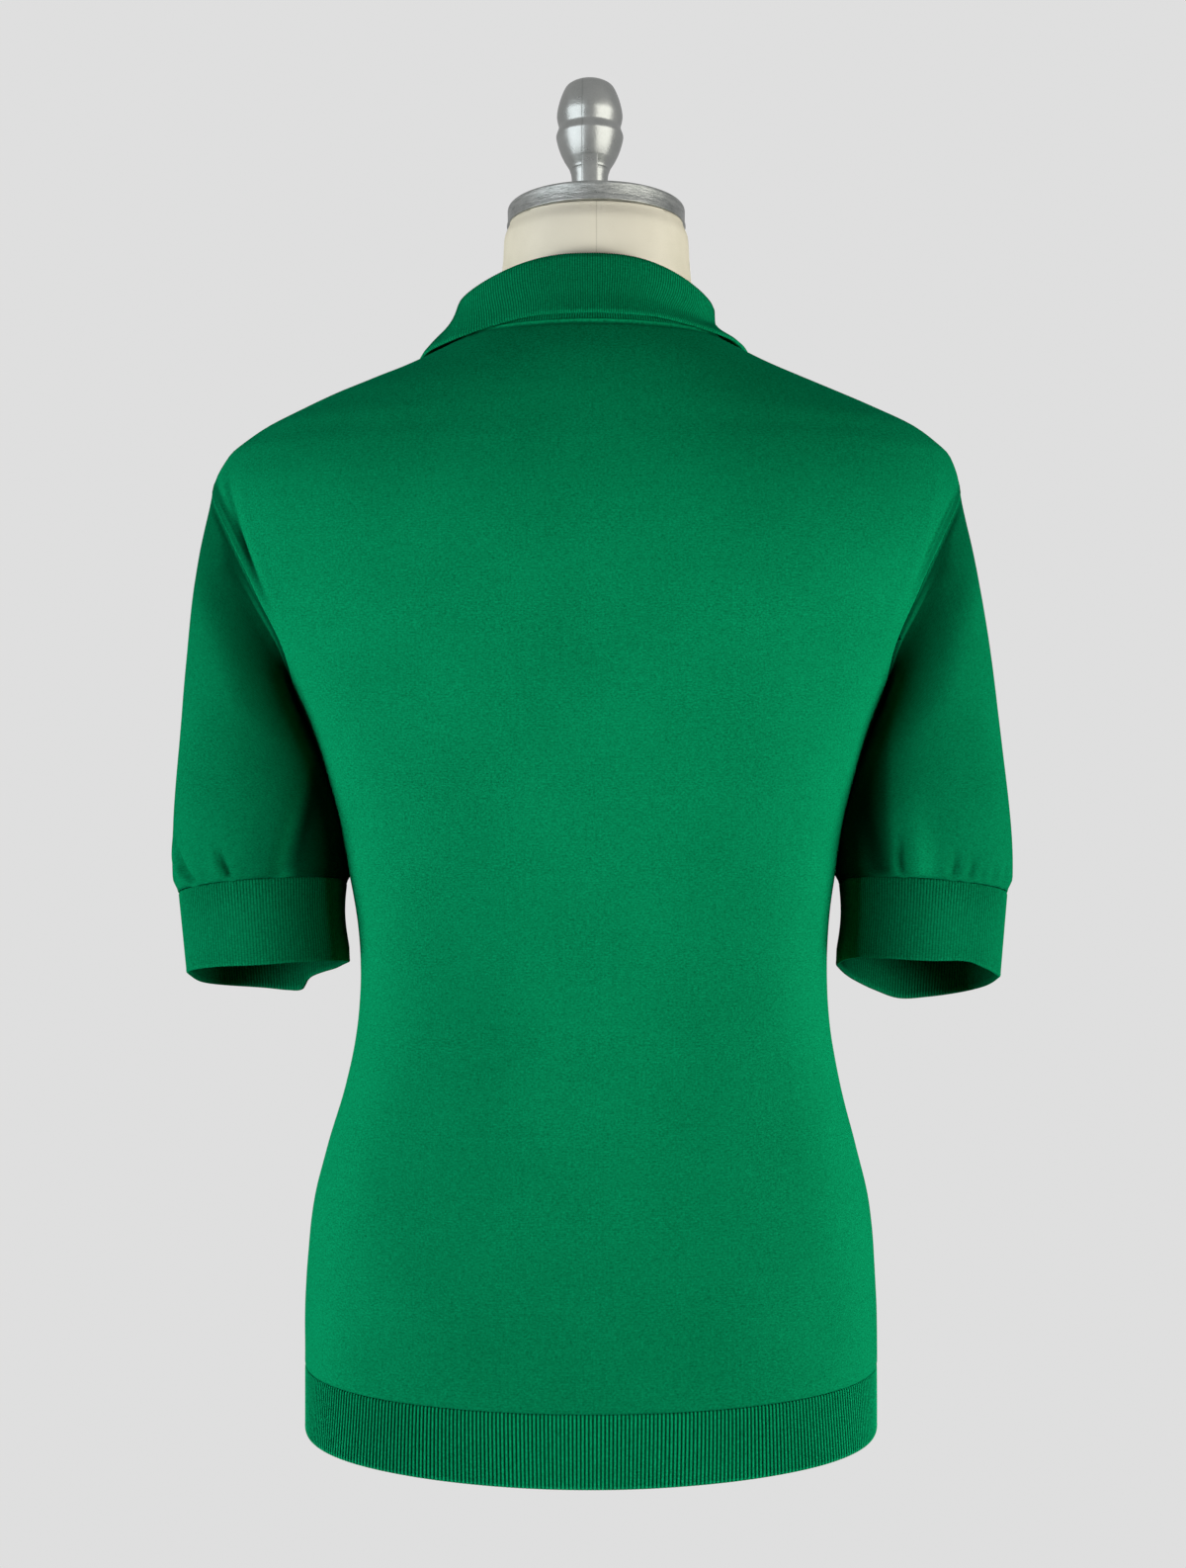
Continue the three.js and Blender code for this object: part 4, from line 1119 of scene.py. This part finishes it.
collarEdge = tableOf("share turn levelLeft levelRight lift", [
    (0, 0, 668, 668, 4.6),
    (0.2, 31, 667.8, 668, 3.7),
    (0.33, 51, 664.6, 666.3, 2.5),
    (0.45, 69, 659.5, 662.5, 2.6),
    (0.58, 90, 655.5, 660, 2.8),
    (0.75, 115, 648, 650.5, 3),
    (0.88, 135, 636, 637, 4),
    (1, 154, 620, 620, 4.4),
])


def collarLine(share):
    look = collarLook
    isLeft, amount = share >= 0, abs(share)

    def turned(fromBack):
        return pi / 2 - copysign(1, share) * radians(fromBack)

    angle = turned(amount * look["endTurn"])
    normal, up = bodyNormal(angle, neckLevel)
    footGap = seamGap + 0.15 + 0.6 * smooth(amount * look["endTurn"], 150, look["endTurn"])
    foot = bodyPoint(angle, neckLevel) - normal * (jerseyWall / 2) + up * footGap
    width = look["widthLeft"] if isLeft else look["widthRight"]
    sideHeight = look["sideLeft"] if isLeft else look["sideRight"]
    behind = sin(angle)
    depth = look["back"] if behind >= 0 else look["front"]
    if behind >= 0:
        rise = (look["backHeight"] - sideHeight) * (1 - abs(cos(angle)) ** look["roundness"])
    else:
        rise = (look["frontHeight"] - sideHeight) * behind * behind
    radius = 1 / hypot(cos(angle) / width, behind / depth)
    outward = Vector((cos(angle), behind, 0))
    fold = outward * radius
    fold.x += bodyRings[-1]["lean"]
    fold.z = sideHeight + rise - look["radius"]
    row = smoothRow(collarEdge, "share", amount)
    edgeAngle, edgeLevel = turned(row["turn"]), row["levelLeft"] if isLeft else row["levelRight"]
    edge = bodyOut(edgeAngle, edgeLevel, row["lift"])
    edgeNormal, edgeUp = bodyNormal(edgeAngle, edgeLevel)
    foldInner = fold - outward * look["radius"]
    foldOuter = fold + outward * look["radius"]
    upright = Vector((0, 0, 1))
    stand = max(foldInner.z - foot.z, 1)
    points = [bezier(foot, foot + up * stand * 0.1, foldInner - upright * stand * 0.4, foldInner, t)
              for t in spread(0, 1, look["standRows"])]
    for bend in spread(180, 0, look["bendRows"])[1:-1]:
        sideways, upwards = look["radius"] * cos(radians(bend)), look["radius"] * sin(radians(bend))
        points.append(fold + outward * sideways + upright * upwards)
    leaf = (foldOuter - edge).length
    toSide = smooth(amount, 0, 0.3)
    reach = mixed(look["reach"], look["reach"] if isLeft else look["reachRight"], toSide)
    drape = mixed(look["drapeMiddle"], look["drapeLeft"] if isLeft else look["drapeRight"], toSide)
    fromEdge = (foldOuter - edge).normalized().lerp(edgeUp, drape)
    landing = edge + fromEdge * leaf * reach + edgeNormal
    falling = outward * 0.6 - upright * leaf * (reach - 0.05)
    straight = look["straightLeft"] * toSide if isLeft else 0
    leaving = foldOuter + falling.lerp((edge - foldOuter) * 0.4, straight)
    for t in spread(0, 1, look["leafRows"]):
        points.append(keepAbove(bezier(foldOuter, leaving, landing, edge, t), row["lift"]))
    return points


def buildCollar():
    look = collarLook
    columns = round(2 * pi * look["meanRadius"] / look["pitch"]) * look["columns"]
    lines = look["lines"]
    coarse = [collarLine(1 - 2 * k / lines) for k in range(lines + 1)]
    rows = len(coarse[0]) - 1

    def middle(i, j):
        at = i / columns * lines
        k = min(int(at), lines - 1)
        before, after = coarse[max(k - 1, 0)][j], coarse[min(k + 2, lines)][j]
        a, b = coarse[k][j], coarse[k + 1][j]
        t = at - int(at) if at < lines else 1.0
        return (a * (2 * t ** 3 - 3 * t * t + 1) + (b - before) * 0.5 * (t ** 3 - 2 * t * t + t)
                + b * (3 * t * t - 2 * t ** 3) + (after - a) * 0.5 * (t ** 3 - t * t))

    lengths = runLengths(coarse[lines // 2])

    def skin(i, j):
        around = middle(min(i + 2, columns), j) - middle(max(i - 2, 0), j)
        along = middle(i, min(j + 1, rows)) - middle(i, max(j - 1, 0))
        normal = around.cross(along).normalized()
        share = 1 - 2 * i / columns
        down = (j - look["standRows"] - look["bendRows"]) / look["leafRows"]
        dent = 0
        for at, wide, low, long, height in look["dents"]:
            dent += height * bump(share, at, wide) * bump(down, low, long)
        return middle(i, j) + normal * dent, normal

    def cloth(i, j):
        return i / look["columns"] * look["pitch"], lengths[j]

    half, depth, leafStart = ribWall / 2, look["depth"], look["standRows"] + look["bendRows"]
    loop = [(0, 0, 0.1, -0.3), (0, half * 0.8, depth, 0)] + [(j, half, depth, 0) for j in range(1, rows - 2)]
    loop += [(rows - 2, half + 0.05, depth * 0.8, 0.15), (rows - 1, half + 0.25, depth * 0.5, 0.4)]
    loop += [(rows, half * 0.7, depth * 0.4, 0.4), (rows, 0, 0.1, 0.2), (rows, -half * 0.7, 0.1, 0)]
    inside = [*range(rows - 1, leafStart + 2, -3), *range(leafStart, look["standRows"] - 1, -2),
              *range(look["standRows"] - 2, 0, -2)]
    loop += [(j, -half, depth * 0.5, 0) for j in inside] + [(0, -half * 0.8, 0.1, 0)]
    return ribbedStrip(columns, look["columns"], loop, skin, cloth, False)


collar = makePiece("collar", buildCollar(), rib, ["collar"])
print("collar made")


# Placket and buttons

def placketPoint(x, level, out):
    return bodyOut(angleAtFront(level, x), level, out)


def buildBand(width, bottom, top, out, edgeRoll):
    columns, rows, depth = placketLook["columns"], placketLook["rows"], placketLook["stitch"]
    levels = spread(bottom, top, rows)

    def place(i, j):
        x = (i / columns - 0.5) * width
        fromEdge = width / 2 - abs(x)
        fromEnd = min(levels[j] - bottom, 30)
        roll = -edgeRoll * (1 - smooth(min(fromEdge, fromEnd), 0, 1.2))
        stitch = -depth * bump(fromEdge, 3.0, 0.5) - depth * bump(fromEnd, 12.0, 0.5)
        return placketPoint(x, levels[j], out + roll + stitch)

    def cloth(i, j):
        return (i / columns - 0.5) * width, levels[j]

    return gridSheet(columns, rows, place, cloth)


look = placketLook
bm = buildBand(2 * (look["slotHalf"] - seamGap), look["slotBottom"] + 4, neckLevel, 0, 0.1)
underBand = makePiece("placketUnder", bm, rib, ["placket_under"], jerseyWall)
bm = buildBand(look["width"], look["bottom"], neckLevel - 0.6, look["bandGap"] + jerseyWall, 0.35)
upperBand = makePiece("placketUpper", bm, rib, ["placket_upper"], jerseyWall)

buttonLook = {
    "outline": [(0.01, 0), (5.3, 0), (5.65, 0.15), (5.8, 0.5), (5.8, 2.0), (5.65, 2.4), (5.3, 2.6),
                (4.5, 2.6), (4.1, 2.45), (3.6, 2.0), (3.2, 1.9), (0.01, 1.9)],
    "hole": 0.75, "holePlace": 1.35, "holeHeight": 1.86, "heights": [489, 542, 596],
}


def levelAtFront(height):
    level = height
    for _ in range(20):
        level += height - bodyPoint(angleAtFront(level, 0), level).z
    return level


def spunPiece(outline, steps, weld):  # spins an outline of (radius, height) round Z
    bm = bmesh.new()
    profile = [bm.verts.new((max(r, 0.001), 0, z)) for r, z in outline]
    edges = [bm.edges.new(pair) for pair in zip(profile, profile[1:])]
    bmesh.ops.spin(bm, geom=profile + edges, cent=(0, 0, 0), axis=(0, 0, 1), angle=2 * pi, steps=steps,
                   use_merge=True)
    bmesh.ops.remove_doubles(bm, verts=bm.verts, dist=weld)
    faceOut(bm)
    return bm


def buildButton(height):
    look = buttonLook
    bm = spunPiece(look["outline"], 40, 0.02)
    for sx in (-1, 1):  # four sewn-through thread holes, each made as a small flattened ball half sunk into the face
        for sy in (-1, 1):
            spot = Matrix.Translation((sx * look["holePlace"], sy * look["holePlace"], look["holeHeight"]))
            made = bmesh.ops.create_uvsphere(bm, u_segments=10, v_segments=6, radius=look["hole"],
                                             matrix=spot)["verts"]
            bmesh.ops.scale(bm, verts=made, vec=(1, 1, 0.25), space=spot.inverted())
    level = levelAtFront(height)
    angle = angleAtFront(level, 0)
    normal = bodyNormal(angle, level)[0]
    seat = placketLook["bandGap"] + jerseyWall + seamGap + 0.1
    turn = Vector((0, 0, 1)).rotation_difference(normal).to_matrix().to_4x4()
    place = Matrix.Translation((bodyPoint(angle, level) + normal * seat) * mm) @ turn @ Matrix.Scale(mm, 4)
    bmesh.ops.transform(bm, matrix=place, verts=bm.verts)
    return bm


for k, height in enumerate(buttonLook["heights"]):
    makePiece(f"button{k + 1}", buildButton(height), resin, [f"button_{k + 1}"])
print("placket and buttons made")


# Dress form, cap and finial

formLook = {"columns": 144, "rounding": 2.4, "shoulder": 13, "seam": 0.5}
formGaps = tableOf("level gap", [
    (9, 17), (30, 9), (60, 6), (250, 4), (440, 4), (560, 5), (605, 2), (630, 0.85), (668, 0.85)])
capLook = {
    "radius": 54.8,
    "thickness": 12.0,
    "tilt": 4,                 # degrees towards the front
    "base": (-2, -7, 739.2),
    "edge": 2.6,
    "around": 55,              # radius of the brushed finish's flat measure
}
neckAxis = Matrix.Translation(capLook["base"]) @ Matrix.Rotation(radians(capLook["tilt"]), 4, "X")


def formPoint(angle, level):
    gap = smoothRow(formGaps, "level", level)["gap"]
    atSide = max(abs(cos(angle)) - 0.75, 0) / 0.25
    atShoulder = smooth(level, 450, 530) * (1 - smooth(level, 570, 606))
    return bodyOut(angle, level, -(jerseyWall + gap + formLook["shoulder"] * atSide * atShoulder))


def buildForm():
    columns = formLook["columns"]
    levels = [hemBottom, hemBottom, 12, 22, 34] + spread(hemTop, neckLevel, 110)
    sides = spread(neckLevel, neckRings[-1]["side"], 40)[1:]
    rows = len(levels) + len(sides) - 1

    def place(i, j):
        angle = 2 * pi * (i % columns) / columns
        if j < len(levels):
            point = formPoint(angle, levels[j])
            if j == 0:
                point.z = 0
            if j == 1:
                point.z = 2.5
            return point
        point = ringPoint(smoothRow(neckRings, "side", sides[j - len(levels)]), angle)
        away = (angle - pi / 2 + pi) % (2 * pi) - pi
        underCap = (neckAxis.inverted() @ point).z
        inward = formLook["seam"] * bump(away * 58, 0, 0.9) + formLook["rounding"] * smooth(underCap, -10, 0)
        return point - Vector((cos(angle), sin(angle), 0)) * inward

    def cloth(i, j):
        return linenLook["around"] * 2 * pi * i / columns, place(i, j).z

    bm = gridSheet(columns, rows, place, cloth, closed=True)
    top = neckAxis @ Vector((0, 0, -seamGap)) * mm
    cutAt(bm, top, neckAxis.to_3x3() @ Vector((0, 0, 1)), True)
    closeHoles(bm)
    return bm


makePiece("dressForm", buildForm(), linen, ["dress_form"])
print("dress form made")


def turnedPiece(outline, steps):  # a spun outline with a UV of length round and up
    bm = spunPiece(outline, steps, 0.004)
    layer = bm.loops.layers.uv.new("turned")
    for face in bm.faces:
        middle = face.calc_center_median()
        base = atan2(middle.y, middle.x)
        for loop in face.loops:
            co = loop.vert.co
            angle = atan2(co.y, co.x) if co.xy.length > 0.01 else base
            angle = base + (angle - base + pi) % (2 * pi) - pi
            loop[layer].uv = (angle * capLook["around"], co.z + max(capLook["radius"] - co.xy.length, 0))
    return bm


def rounded(corners, radius, steps=5):  # an outline with its inner corners rounded
    made = [corners[0]]
    for before, corner, after in zip(corners, corners[1:], corners[2:]):
        b, c, a = Vector(before), Vector(corner), Vector(after)
        cut = min(radius, (b - c).length * 0.45, (a - c).length * 0.45)
        start, end = c + (b - c).normalized() * cut, c + (a - c).normalized() * cut
        for t in spread(0, 1, steps):
            made.append(tuple(start * (1 - t) ** 2 + c * 2 * t * (1 - t) + end * t * t))
    return made + [corners[-1]]


def buildCap():
    r, h = capLook["radius"], capLook["thickness"]
    outline = [(0, 0), (r - 2.5, 0), (r - 0.2, 0.1), (r + 0.25, 0.5), (r + 0.2, 1.0), (r - 0.3, 1.6)]
    outline += rounded([(r - 0.3, 1.6), (r - 0.15, h), (0, h)], capLook["edge"], 7)[1:]
    bm = turnedPiece(outline, 120)
    bmesh.ops.transform(bm, matrix=Matrix.Scale(mm, 4) @ neckAxis, verts=bm.verts)
    return bm


makePiece("neckCap", buildCap(), brushedCast, ["neck_cap"])

finialOutline = [
    (0, 0), (0.12, 3.4), (0.4, 6.2), (1.5, 9.9), (4, 14), (7, 16), (11.3, 17.8), (14.5, 18.8),
    (18.6, 19.8), (23, 20.3), (26.5, 19.8), (29.4, 19.1), (31.4, 19.4), (35.4, 20.7), (38.1, 20.4),
    (42, 19.4), (46, 18), (50.3, 16), (52.8, 14.5), (55.4, 12.9), (56.8, 12.3), (57.3, 11.8), (57.8, 12.1),
    (58.5, 11.7), (63, 11.1), (81, 10.5),
]


def buildFinial():
    look = finialLook
    seat = capLook["thickness"] + seamGap
    table = tableOf("below radius", finialOutline)
    fine = [0] + [row["below"] for row in table[1:-2]] + [0.4 + k * 0.39 for k in range(160)]
    fine = sorted(set(round(v, 3) for v in fine if v < table[-2]["below"]))
    outline = [(0, seat), (10.2, seat), (10.5, seat + 0.3)]
    outline += [(smoothRow(table, "below", v)["radius"], seat + look["height"] - v) for v in reversed(fine)]
    bm = turnedPiece(outline, 96)
    made = bmesh.ops.create_cube(bm, size=1)   # the square key cast into the finial's foot
    size = Vector((look["keyWidth"], look["keyDepth"], look["keyHeight"]))
    middle = Vector((0, look["keyDepth"] / 2, seat + look["keyHeight"] / 2))
    bmesh.ops.scale(bm, verts=made["verts"], vec=size)
    bmesh.ops.translate(bm, verts=made["verts"], vec=middle)
    edges = list({edge for vert in made["verts"] for edge in vert.link_edges})
    bmesh.ops.bevel(bm, geom=edges, offset=0.7, segments=3, profile=0.5, affect="EDGES", material=-1)
    bmesh.ops.translate(bm, verts=bm.verts, vec=(look["offset"], 0, 0))
    bmesh.ops.transform(bm, matrix=Matrix.Scale(mm, 4) @ neckAxis, verts=bm.verts)
    return bm


makePiece("finial", buildFinial(), polishedCast, ["finial"])
print("cap and finial made")


# Floor, light and camera

studio = {
    "paper": (0.737, 0.737, 0.737),
    "ambient": 0.02,
    "reflected": 0.4,
    # place, size, power in watts and colour of each softbox, and which rays see it
    "boxes": tableOf("place size power colour sees", [
        ((2.0, 1.0, 0.12), (1.2, 0.9), 68, (0.96, 0.98, 1.0), "diffuse"),
        ((-2.0, 1.0, 0.12), (1.2, 0.9), 71, (1.0, 0.99, 0.96), "diffuse"),
        ((1.6, 1.25, 0.8), (2.3, 2.3), 24, (0.9, 0.96, 1.0), "glossy"),
        ((-1.6, 1.25, 0.8), (2.3, 2.3), 24, (1.0, 0.98, 0.9), "glossy"),
        ((1.6, -1.6, 0.6), (1.2, 1.2), 10, (1, 1, 1), "diffuse"),
        ((-1.6, -1.6, 0.6), (1.2, 1.2), 10, (1, 1, 1), "diffuse"),
    ]),
    "aim": (0, 0, 0.42),
    "floorRadius": 40,
    "floorDrop": 0.0005,       # just under the part's base
    "camera": (0, 1.35, 0.397),
    "sensor": 36,
    "focus": 2227.5,           # camera distance in the photograph's pixels
    "frameHeight": 1586,
}


def makeFloor():
    bm = bmesh.new()
    bmesh.ops.create_circle(bm, cap_ends=True, segments=64, radius=studio["floorRadius"])
    bmesh.ops.translate(bm, verts=bm.verts, vec=(0, 0, -studio["floorDrop"]))
    paper = Finish("paper")
    paper.set(Base_Color=(0, 0, 0, 1), Emission_Color=(*studio["paper"], 1), Emission_Strength=1.0,
              Roughness=1.0, Specular_IOR_Level=0.0)
    floor = addMesh("floor", bm, paper)
    floor.visible_diffuse = False
    floor.visible_glossy = False
    floor.visible_shadow = False
    floor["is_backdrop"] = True


def makeWorld():
    world = bpy.data.worlds.new("studio")
    scene.world = world
    world.use_nodes = True
    tree = world.node_tree
    path = tree.nodes.new("ShaderNodeLightPath")
    back = tree.nodes["Background"]
    back.inputs["Color"].default_value = (1, 1, 1, 1)
    back.inputs["Strength"].default_value = studio["ambient"]
    shown = back.outputs[0]
    others = (("Is Glossy Ray", (1, 1, 1), studio["reflected"]), ("Is Camera Ray", studio["paper"], 1.0))
    for ray, colour, strength in others:  # what these rays see in place of the ambient light
        seen = tree.nodes.new("ShaderNodeBackground")
        seen.inputs["Color"].default_value = (*colour, 1)
        seen.inputs["Strength"].default_value = strength
        mix = tree.nodes.new("ShaderNodeMixShader")
        for k, output in enumerate((path.outputs[ray], shown, seen.outputs[0])):
            tree.links.new(output, mix.inputs[k])
        shown = mix.outputs[0]
    tree.links.new(shown, tree.nodes["World Output"].inputs["Surface"])


def makeSoftbox(name, look):
    data = bpy.data.lights.new(name, "AREA")
    data.shape = "RECTANGLE"
    data.size, data.size_y = look["size"]
    data.energy = look["power"]
    data.color = look["colour"]
    lamp = bpy.data.objects.new(name, data)
    scene.collection.objects.link(lamp)
    lamp.location = look["place"]
    aim = Vector(studio["aim"]) - lamp.location
    lamp.rotation_euler = aim.to_track_quat("-Z", "Y").to_euler()
    lamp.visible_camera = False
    lamp.visible_glossy = look["sees"] == "glossy"
    lamp.visible_diffuse = look["sees"] == "diffuse"


makeFloor()
makeWorld()
for k, look in enumerate(studio["boxes"]):
    makeSoftbox(f"softbox{k + 1}", look)

cameraData = bpy.data.cameras.new("camera")
cameraData.sensor_fit = "AUTO"
cameraData.sensor_width = studio["sensor"]
cameraData.lens = studio["sensor"] * studio["focus"] / studio["frameHeight"]
camera = bpy.data.objects.new("camera", cameraData)
scene.collection.objects.link(camera)
camera.location = studio["camera"]
camera.rotation_euler = (radians(90), 0, radians(180))
scene.camera = camera
scene.view_settings.view_transform = "Standard"
scene.view_settings.look = "None"
print("studio made")

low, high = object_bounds()
